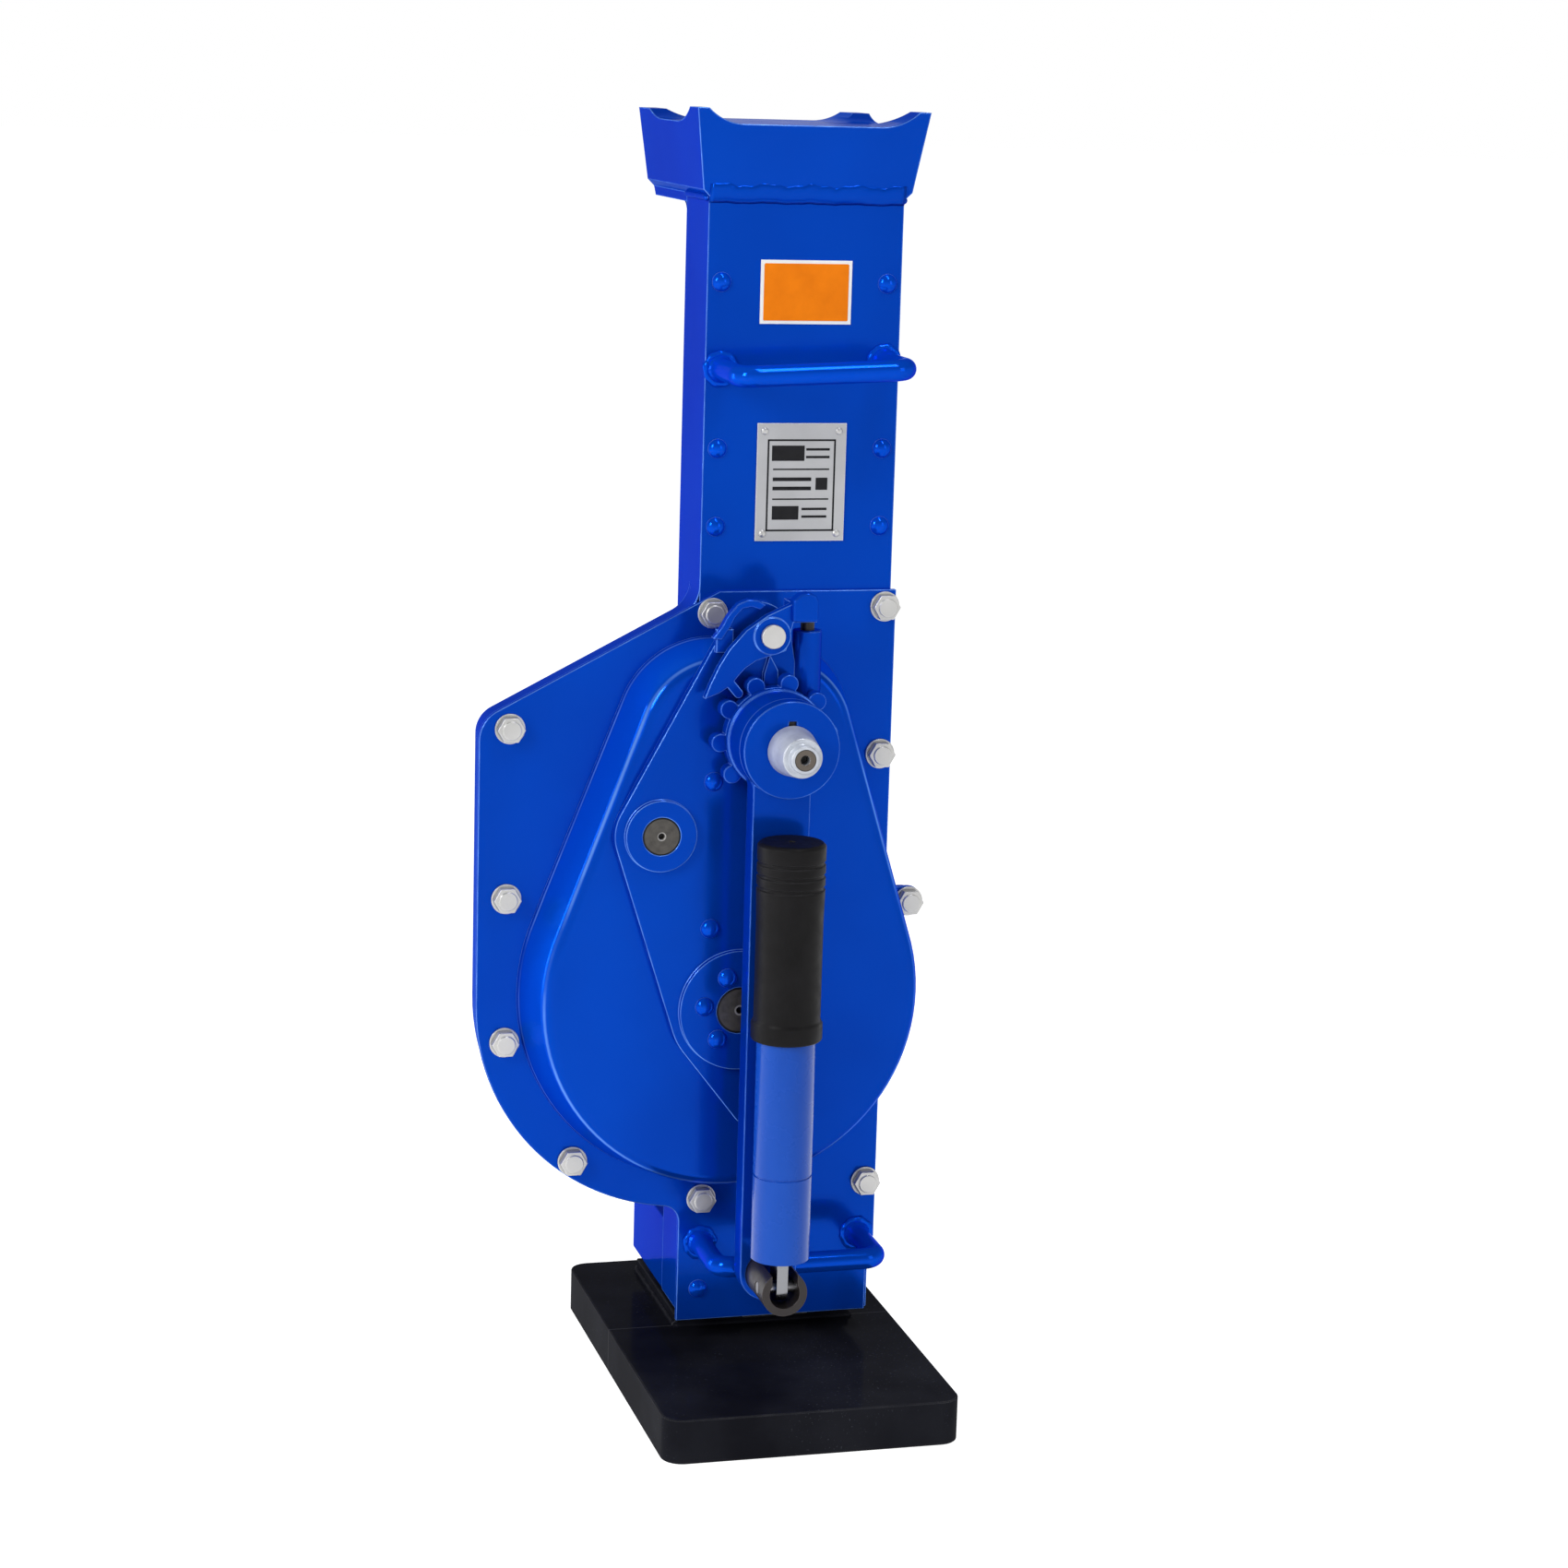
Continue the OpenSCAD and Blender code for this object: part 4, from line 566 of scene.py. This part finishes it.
# %% Ease the edges
EASE_MM = {
    "base_plate": 0.9, "foot_pad": 1.0, "column_casing": 1.3, "lifting_head": 2.4, "rear_toe": 1.5,
    "front_plate": 0.8, "dome_cover": 0.4, "bearing_plate": 0.9, "case_bolts": 0.5, "case_washers": 0.3,
    "label_plate": 0.15, "name_plate": 0.2, "spring_housing": 0.8, "pawl_pivot_bolt": 0.6,
    "crank_arm": 2.2, "crank_spigot": 0.9, "drive_key": 0.3, "handle_socket": 0.7, "fold_pin": 0.5,
    "ratchet_wheel": 1.0, "pawl_lever": 1.2, "pawl_plunger": 0.2, "middle_shaft": 0.6, "output_shaft": 0.6,
    "handle_rod": 0.6, "handle_grip": 0.5,
}
OTHER_EASE_MM = 0.15
ROUND_FROM_MM = 0.8
FLAT_TURN, SHARP_TURN = math.radians(0.4), math.radians(28)


def ease(solid, width):
    for face in solid.data.polygons:
        face.use_smooth = True
    weld = solid.modifiers.new("weld", "WELD")
    weld.merge_threshold = 0.002 * MM
    flat = solid.modifiers.new("flat faces", "DECIMATE")
    flat.decimate_type = "DISSOLVE"
    flat.angle_limit = FLAT_TURN
    soft = solid.modifiers.new("soft edges", "BEVEL")
    soft.width = width * MM
    soft.segments = 3 if width >= ROUND_FROM_MM else 1
    soft.limit_method = "ANGLE"
    soft.angle_limit = SHARP_TURN
    soft.miter_outer = "MITER_ARC"
    soft.use_clamp_overlap = True
    even = solid.modifiers.new("even light", "WEIGHTED_NORMAL")
    even.mode = "FACE_AREA"
    even.weight = 80


for name, solid in nodes.items():
    ease(solid, EASE_MM.get(name, OTHER_EASE_MM))
print("edges eased on", len(nodes), "solids")

# %% [markdown]
# ## Making an added piece
# Weld beads, fillets and printed fields are small meshes built from points. One helper covers rings of
# points with faces. The other makes the mesh an object, gives it a finish and smooth shading, and lets
# it ride on a body, so that it moves with the part it is fixed to. Curves with a bevel could make the
# beads too, but meshes make all of these things in the same way.

# %% Making an added piece


def skin(shape, rings, closed=False):
    """Covers rings of points with faces, and caps the ends of a row that isn't closed."""
    for a, b in zip(rings, rings[1:] + rings[:1] if closed else rings[1:]):
        for s in range(len(a)):
            t = (s + 1) % len(a)
            shape.faces.new((a[s], a[t], b[t], b[s]))
    if not closed:
        shape.faces.new(rings[0])
        shape.faces.new(rings[-1])


def piece(name, shape, body, material, soft=0.0):
    """Turns mesh data into a piece that rides on a body. soft rounds its edges, in millimetres."""
    bmesh.ops.recalc_face_normals(shape, faces=shape.faces)
    mesh = bpy.data.meshes.new(name)
    shape.to_mesh(mesh)
    shape.free()
    for face in mesh.polygons:
        face.use_smooth = True
    mesh.materials.append(material)
    made = bpy.data.objects.new(name, mesh)
    bpy.context.scene.collection.objects.link(made)
    if soft:
        rounding = made.modifiers.new("soft edges", "BEVEL")
        rounding.width = soft * MM
        rounding.segments = 2
        rounding.limit_method = "ANGLE"
        rounding.angle_limit = math.radians(30)
    made.modifiers.new("even light", "WEIGHTED_NORMAL")
    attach(made, body)
    return made


print("piece helpers ready")

# %% [markdown]
# ## Head seam
# The head is welded to the column with one wavy seam that shows from the front. A round bead would look
# like a hose laid on the plate, so the seam has its own section in Y and Z, a step under a fat lip. It
# is carried along X while slow waves and small seeded steps lift and push it.

# %% Head seam
HEAD_LEFT, HEAD_RIGHT = -56.5, 73.5
SEAM_STEPS = 44
SEAM = ((-14.6, 795.5), (-16.6, 797.6), (-18.4, 801.0), (-19.2, 804.6), (-19.3, 807.6), (-17.6, 808.6),
        (-14.6, 808.0))
LIP_FROM, CREST_FROM = 800, 803

draw = random.Random(7)
shape = bmesh.new()
rings = []
for i in range(SEAM_STEPS + 1):
    x = HEAD_LEFT + (HEAD_RIGHT - HEAD_LEFT) * i / SEAM_STEPS
    wave = 0.9 * math.sin(i * 0.62) + 0.5 * math.sin(i * 1.7 + 1) + draw.uniform(-0.25, 0.25)
    ring = []
    for y, z in SEAM:
        out = 0.25 * wave if z > LIP_FROM else 0
        rise = wave if z > CREST_FROM else 0.3 * wave
        ring.append(shape.verts.new(Vector((x, y - out, z + rise)) * MM))
    rings.append(ring)
skin(shape, rings)
piece("head_weld", shape, "housing", BLUES["casing_blue"])
print("seam", HEAD_RIGHT - HEAD_LEFT, "mm long")

# %% [markdown]
# ## Weld beads at the head's sides
# Hand welding leaves a bead of small overlapping lumps. A helper sweeps a ring of points along a path
# and swells it by a ripple and a seeded draw, so every run gives the same bead. Here it runs along both
# side edges under the head. The ends of an open bead are drawn in, as where the torch was lifted.

# %% Weld beads at the head's sides
BEAD_SIDES = 10
SIDE_WELD_FRONT, SIDE_WELD_BACK, SIDE_WELD_Z = -15, 44, 799.4
SIDE_WELD_R, SIDE_WELD_OUT = 2.2, 0.6


def line(start, end, step=3.0):
    """Points from one place to another, about a step apart."""
    a, b = Vector(start), Vector(end)
    count = max(2, round((b - a).length / step))
    return [a.lerp(b, i / count) for i in range(count + 1)]


def bead(shape, path, radius, closed, seed, lumps=0.22, flat=1.0, out=(0, -1, 0)):
    """Sweeps a lumpy bead along points in millimetres. out is the direction that flat squashes it in."""
    draw = random.Random(seed)
    count = len(path)
    points = [Vector(p) for p in path]
    rings = []
    for i, point in enumerate(points):
        before = points[i - 1] if closed or i else point
        after = points[(i + 1) % count] if closed or i < count - 1 else point
        along = (after - before).normalized()
        side = along.cross(Vector(out)).normalized()
        up = side.cross(along).normalized()
        ripple = 1 + lumps * math.sin(i * 1.9 + seed) * 0.5 + lumps * draw.uniform(-0.5, 0.5)
        if not closed and i in (0, count - 1):
            ripple *= 0.4
        ring = []
        for s in range(BEAD_SIDES):
            turn = math.tau * s / BEAD_SIDES
            reach = side * math.cos(turn) + up * (math.sin(turn) * flat)
            ring.append(shape.verts.new((point + reach * radius * ripple) * MM))
        rings.append(ring)
    skin(shape, rings, closed)


shape = bmesh.new()
for number, x in enumerate((HEAD_LEFT - SIDE_WELD_OUT, HEAD_RIGHT + SIDE_WELD_OUT)):
    path = line((x, SIDE_WELD_FRONT, SIDE_WELD_Z), (x, SIDE_WELD_BACK, SIDE_WELD_Z))
    bead(shape, path, SIDE_WELD_R, False, 11 + number, out=(0, 0, 1))
piece("head_side_welds", shape, "housing", BLUES["casing_blue"])
print("side beads", len(path), "points each")

# %% [markdown]
# ## Fillet behind the head
# Behind the column the head stands out over it, and the corner under it is filled with a round fillet
# for strength. It is a solid between two equal outlines, left and right, each a quarter circle drawn in
# Y and Z. A bevel on the solids can't make it, because the two are separate parts.

# %% Fillet behind the head
FILLET_BACK_R, COLUMN_BACK, FILLET_BACK_Z = 11.0, 45.0, 794.4
INTO_CORNER, QUARTER_STEPS = 0.5, 8
fillet_left, fillet_right = HEAD_LEFT + 0.4, HEAD_RIGHT - 0.4


def prism(shape, near, far):
    """A solid between two equal outlines of points in millimetres."""
    near, far = ([shape.verts.new(Vector(p) * MM) for p in outline] for outline in (near, far))
    shape.faces.new(near)
    shape.faces.new(far)
    for i in range(len(near)):
        j = (i + 1) % len(near)
        shape.faces.new((near[i], near[j], far[j], far[i]))


outline = [(COLUMN_BACK - INTO_CORNER, FILLET_BACK_Z + INTO_CORNER)]
for step in range(QUARTER_STEPS + 1):
    turn = math.radians(90 + 90 * step / QUARTER_STEPS)
    outline.append((COLUMN_BACK + FILLET_BACK_R + FILLET_BACK_R * math.cos(turn),
                    FILLET_BACK_Z - FILLET_BACK_R + FILLET_BACK_R * math.sin(turn)))
shape = bmesh.new()
prism(shape, [(fillet_left, y, z) for y, z in outline], [(fillet_right, y, z) for y, z in outline])
piece("head_back_fillet", shape, "housing", BLUES["casing_blue"])
print("fillet radius", FILLET_BACK_R, "mm")

# %% [markdown]
# ## Weld rings at the carrying handles
# Each carrying handle is a bent bar whose two feet are welded to the plate behind it, so a ring of weld
# lies round each foot. The same bead runs round a circle here, flatter and lumpier than on the head.
# The upper handle isn't quite level, and its rings follow the slope of its feet.

# %% Weld rings at the carrying handles
HANDLE_X, FOOT_APART = 8.5, 55.0
HANDLE_FEET = {"upper": (-15.0, 693.0, 2.6), "lower": (-19.0, 102.0, 0.0)}  # plate's y, height, slope
RING_R, RING_POINTS = 9.4, 30
RING_WELD_R, RING_PROUD = 2.5, 0.9


def ring_path(centre, radius):
    """Points on a circle round an axis along Y."""
    turns = [math.tau * i / RING_POINTS for i in range(RING_POINTS)]
    return [(centre[0] + radius * math.cos(t), centre[1], centre[2] + radius * math.sin(t)) for t in turns]


for name, (face_y, z, slope) in HANDLE_FEET.items():
    shape = bmesh.new()
    turn = math.radians(slope)
    for side in (-1, 1):
        foot = (HANDLE_X + side * FOOT_APART * math.cos(turn), face_y - RING_PROUD,
                z + side * FOOT_APART * math.sin(turn))
        bead(shape, ring_path(foot, RING_R), RING_WELD_R, True, 20 + side, lumps=0.35, flat=0.8)
    piece(name + "_handle_welds", shape, "housing", BLUES["carry_blue"])
print("weld rings", 2 * len(HANDLE_FEET))

# %% [markdown]
# ## Weld round the foot pad
# The pad under the casing is welded to the base plate all round. The path is the pad's own rectangle at
# the plate's top, taken from the boxes of the two solids, so the bead stays on the joint whatever their
# size. It is painted black with them, and it rides on the stand, which stays down.

# %% Weld round the foot pad
PAD_WELD_R, PAD_WELD_LIFT = 2.4, 0.4
pad_low, pad_high = (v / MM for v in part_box("foot_pad"))
weld_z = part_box("base_plate")[1].z / MM + PAD_WELD_LIFT
corners = [(pad_low.x, pad_low.y), (pad_high.x, pad_low.y), (pad_high.x, pad_high.y), (pad_low.x, pad_high.y)]
path = []
for (x, y), (next_x, next_y) in zip(corners, corners[1:] + corners[:1]):
    path += line((x, y, weld_z), (next_x, next_y, weld_z), 4.0)[:-1]
shape = bmesh.new()
bead(shape, path, PAD_WELD_R, True, 31, out=(0, 0, 1))
piece("foot_pad_weld", shape, "stand", OTHERS["base_black"])
print("pad weld", len(path), "points")

# %% [markdown]
# ## Orange field
# The print leaves a narrow white border of the sheet showing. Two thin plates, one on the other, give
# that border a true edge. The field is drawn as an outline with rounded corners and stands a little
# proud of the sheet, which keeps the two faces from flickering through each other.

# %% Orange field
BORDER = 2.2
FIELD_PROUD, SUNK = 0.15, 0.1
CORNER_STEPS = 4


def plate(shape, outline, front, back):
    """A flat piece from an outline of x and z, between two values of y."""
    prism(shape, [(x, front, z) for x, z in outline], [(x, back, z) for x, z in outline])


def rounded_box(x, z, wide, high, corner):
    """The outline of a rectangle with round corners, about its middle."""
    spots = []
    for cx, cz, start in ((1, 1, 0), (-1, 1, 90), (-1, -1, 180), (1, -1, 270)):
        for step in range(CORNER_STEPS + 1):
            turn = math.radians(start + 90 * step / CORNER_STEPS)
            spots.append((x + cx * (wide / 2 - corner) + corner * math.cos(turn),
                          z + cz * (high / 2 - corner) + corner * math.sin(turn)))
    return spots


label_low, label_high = (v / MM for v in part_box("label_plate"))
field = rounded_box((label_low.x + label_high.x) / 2, (label_low.z + label_high.z) / 2,
                    label_high.x - label_low.x - 2 * BORDER, label_high.z - label_low.z - 2 * BORDER, 0.8)
shape = bmesh.new()
plate(shape, field, label_low.y - FIELD_PROUD, label_low.y + SUNK)
piece("orange_field", shape, "housing", ORANGE_INK)
print("orange field inside a border of", BORDER, "mm")

# %% [markdown]
# ## Bars on the silver plate
# The silver plate carries a dark frame and rows of plain bars and blocks. They are one piece of many
# thin plates, placed by a short table from the plate's own middle, so the whole print moves with it.

# %% Bars on the silver plate
BARS = [  # middle x and z from the plate's middle, width, height
    (0, 27.5, 46, 1.2), (0, -31.5, 46, 1.2), (-22.4, -2, 1.2, 59), (22.4, -2, 1.2, 59),
    (-9, 19, 22, 10), (11, 21.5, 16, 1.6), (11, 16.5, 16, 1.6), (0, 8.5, 38, 1.0),
    (-6, 2, 26, 2.4), (-6, -4, 26, 2.4), (14, -1, 8, 8), (0, -11, 38, 1.0),
    (-10, -20, 18, 9), (9.5, -17.5, 17, 1.6), (9.5, -22.5, 17, 1.6),
]
BAR_PROUD, BAR_CORNER = 0.08, 0.25
name_low, name_high = (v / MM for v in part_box("name_plate"))
middle_x, middle_z = (name_low.x + name_high.x) / 2, (name_low.z + name_high.z) / 2
shape = bmesh.new()
for x, z, wide, high in BARS:
    bar = rounded_box(middle_x + x, middle_z + z, wide, high, BAR_CORNER)
    plate(shape, bar, name_low.y - BAR_PROUD, name_low.y + SUNK)
piece("plate_bars", shape, "housing", BLACK_INK)
print("bars", len(BARS))

# %% [markdown]
# ## Crank fillets
# The forged arm flows into its round hub through a fillet on either side. Each is the patch between the
# arm's edge, the hub's circle and an arc that touches both. The arc's middle lies one fillet radius from
# each, which Pythagoras gives, so arm, hub and arc meet without a kink.

# %% Crank fillets
HUB_X, HUB_Z = -20.73, 460.29
HUB_R, ARM_HALF, FILLET_R = 31.5, 19.0, 12.0
ARM_FRONT, ARM_BACK = -101.8, -86.8
INTO_ARM, INTO_HUB = 2, 20
FILLET_STEPS = 8

centre_x = ARM_HALF + FILLET_R
centre_z = -math.sqrt((HUB_R + FILLET_R) ** 2 - centre_x ** 2)
to_hub = math.degrees(math.atan2(-centre_z, -centre_x))
shape = bmesh.new()
for side in (-1, 1):
    in_arm = HUB_X + side * (ARM_HALF - INTO_ARM)
    outline = [(in_arm, HUB_Z + centre_z), (in_arm, HUB_Z - INTO_HUB)]
    for step in range(FILLET_STEPS + 1):
        turn = math.radians(to_hub + (180 - to_hub) * step / FILLET_STEPS)
        outline.append((HUB_X + side * (centre_x + FILLET_R * math.cos(turn)),
                        HUB_Z + centre_z + FILLET_R * math.sin(turn)))
    plate(shape, outline, ARM_FRONT, ARM_BACK)
piece("crank_fillets", shape, "crank", BLUES["crank_blue"], 0.8)
print("arc's middle", round(centre_x, 1), round(centre_z, 1), "mm from the hub's")

# %% [markdown]
# ## Guard strip and pawl nose
# A thin curved strip stands on the bearing plate behind the pawl lever, and a rounded block ends the
# lever over the plunger. Both are cut from an outline in X and Z with a thickness in Y. The strip stays
# with the housing, and the block rides on the pawl, so it lifts with the lever.

# %% Guard strip and pawl nose
GUARD_OUTER = ((-60.8, 523.7), (-55.3, 531.1), (-51.1, 538.6), (-44.9, 546), (-38.6, 548.6), (-31.6, 548.3),
               (-26.4, 545.1))
GUARD_INNER = ((-55.1, 523), (-49.6, 531.1), (-46.6, 537.3), (-41.6, 542.8), (-35.9, 544), (-30.1, 542))
GUARD_FRONT, GUARD_BACK = -71.6, -64.8
NOSE = ((-11.5, 535.5), (5.4, 535.5), (5.4, 549), (3.4, 552.8), (-1, 554.4), (-7, 553.2), (-11.5, 549.5))
NOSE_FRONT, NOSE_BACK = -83.6, -73.0

shape = bmesh.new()
plate(shape, GUARD_OUTER + GUARD_INNER[::-1], GUARD_FRONT, GUARD_BACK)
piece("pawl_guard", shape, "housing", BLUES["bearing_blue"], 0.6)
shape = bmesh.new()
plate(shape, NOSE, NOSE_FRONT, NOSE_BACK)
piece("pawl_nose", shape, "pawl", BLUES["ratchet_blue"], 1.4)
print("guard and nose made")

# %% [markdown]
# ## Floor
# The jack stands on plain white. More light on a white floor would burn out the jack as well, so the
# floor is a pale sheet that keeps the jack's shadow, and a little glow that only the camera, mirrors
# and glass can see brings it up to white.

# %% Floor
FLOOR_SIZE, FLOOR_DROP = 30.0, 0.2 * MM
GLOW = 0.8


def pale_floor():
    g = Graph("floor")
    path = g.node("ShaderNodeLightPath")
    seen = g.math("MAXIMUM", g.math("MAXIMUM", path.outputs["Is Camera Ray"], path.outputs["Is Glossy Ray"]),
                  path.outputs["Is Transmission Ray"])
    g.set(Base_Color=(0.8, 0.8, 0.8), Roughness=0.9, Specular_IOR_Level=0.1, Emission_Color=(1.0, 1.0, 1.0))
    g.put(g.shader.inputs["Emission Strength"], g.math("MULTIPLY", seen, GLOW))
    return g.material


shape = bmesh.new()
bmesh.ops.create_grid(shape, x_segments=2, y_segments=2, size=FLOOR_SIZE)
floor_mesh = bpy.data.meshes.new("floor")
shape.to_mesh(floor_mesh)
shape.free()
floor = bpy.data.objects.new("floor", floor_mesh)
floor.location = (0, 0, -FLOOR_DROP)
floor.data.materials.append(pale_floor())
bpy.context.scene.collection.objects.link(floor)
print("floor ready")

# %% [markdown]
# ## Background
# A studio's walls are lit from below by the white table, and its ceiling is dark. The world is white
# near the horizon and dimmer overhead in the same way, so glossy tops and fronts differ and the jack's
# round parts show their shape. A map by the height of the view direction is all that it takes.

# %% Background
FADE_FROM, FADE_TO, OVERHEAD = 0.05, 0.45, 0.25
world = bpy.data.worlds.new("studio")
bpy.context.scene.world = world
world.use_nodes = True
sky = world.node_tree
ground = sky.nodes["Background"]
ground.inputs["Color"].default_value = (1, 1, 1, 1)
direction = sky.nodes.new("ShaderNodeTexCoord")
height = sky.nodes.new("ShaderNodeSeparateXYZ")
fade = sky.nodes.new("ShaderNodeMapRange")
for socket, number in zip(("From Min", "From Max", "To Min", "To Max"), (FADE_FROM, FADE_TO, 1.0, OVERHEAD)):
    fade.inputs[socket].default_value = number
sky.links.new(direction.outputs["Generated"], height.inputs["Vector"])
sky.links.new(height.outputs["Z"], fade.inputs["Value"])
sky.links.new(fade.outputs["Result"], ground.inputs["Strength"])
print("background ready")

# %% [markdown]
# ## Lamps
# Four soft boxes light the jack: a key from the left, which gives the fronts their colour, a low rim
# lamp behind it for the column's left side, a strip overhead for the head and the handles, and a weak
# fill from the right. They are hidden from the camera and stay in reflections, where paint needs them.

# %% Lamps
LAMPS = [  # name, place, aim, width, height, watts
    ("key", (-2.4, -1.6, 1.9), (0.0, -0.05, 0.45), 0.6, 1.3, 47.0),
    ("rim", (-1.9, 0.75, 0.55), (-0.1, -0.05, 0.4), 0.5, 1.1, 9.0),
    ("top", (0.35, -0.75, 2.5), (0.05, 0.0, 0.5), 0.35, 1.3, 15.0),
    ("fill", (1.9, -2.2, 1.3), (0.0, 0.0, 0.4), 1.0, 1.6, 8.0),
]
for name, at, aim, wide, high, power in LAMPS:
    lamp = bpy.data.lights.new(name, "AREA")
    lamp.shape = "RECTANGLE"
    lamp.size, lamp.size_y = wide, high
    lamp.energy = power
    holder = bpy.data.objects.new(name, lamp)
    holder.location = at
    holder.visible_camera = False
    holder.rotation_euler = (Vector(aim) - Vector(at)).to_track_quat("-Z", "Y").to_euler()
    bpy.context.scene.collection.objects.link(holder)
print("lamps", len(LAMPS))
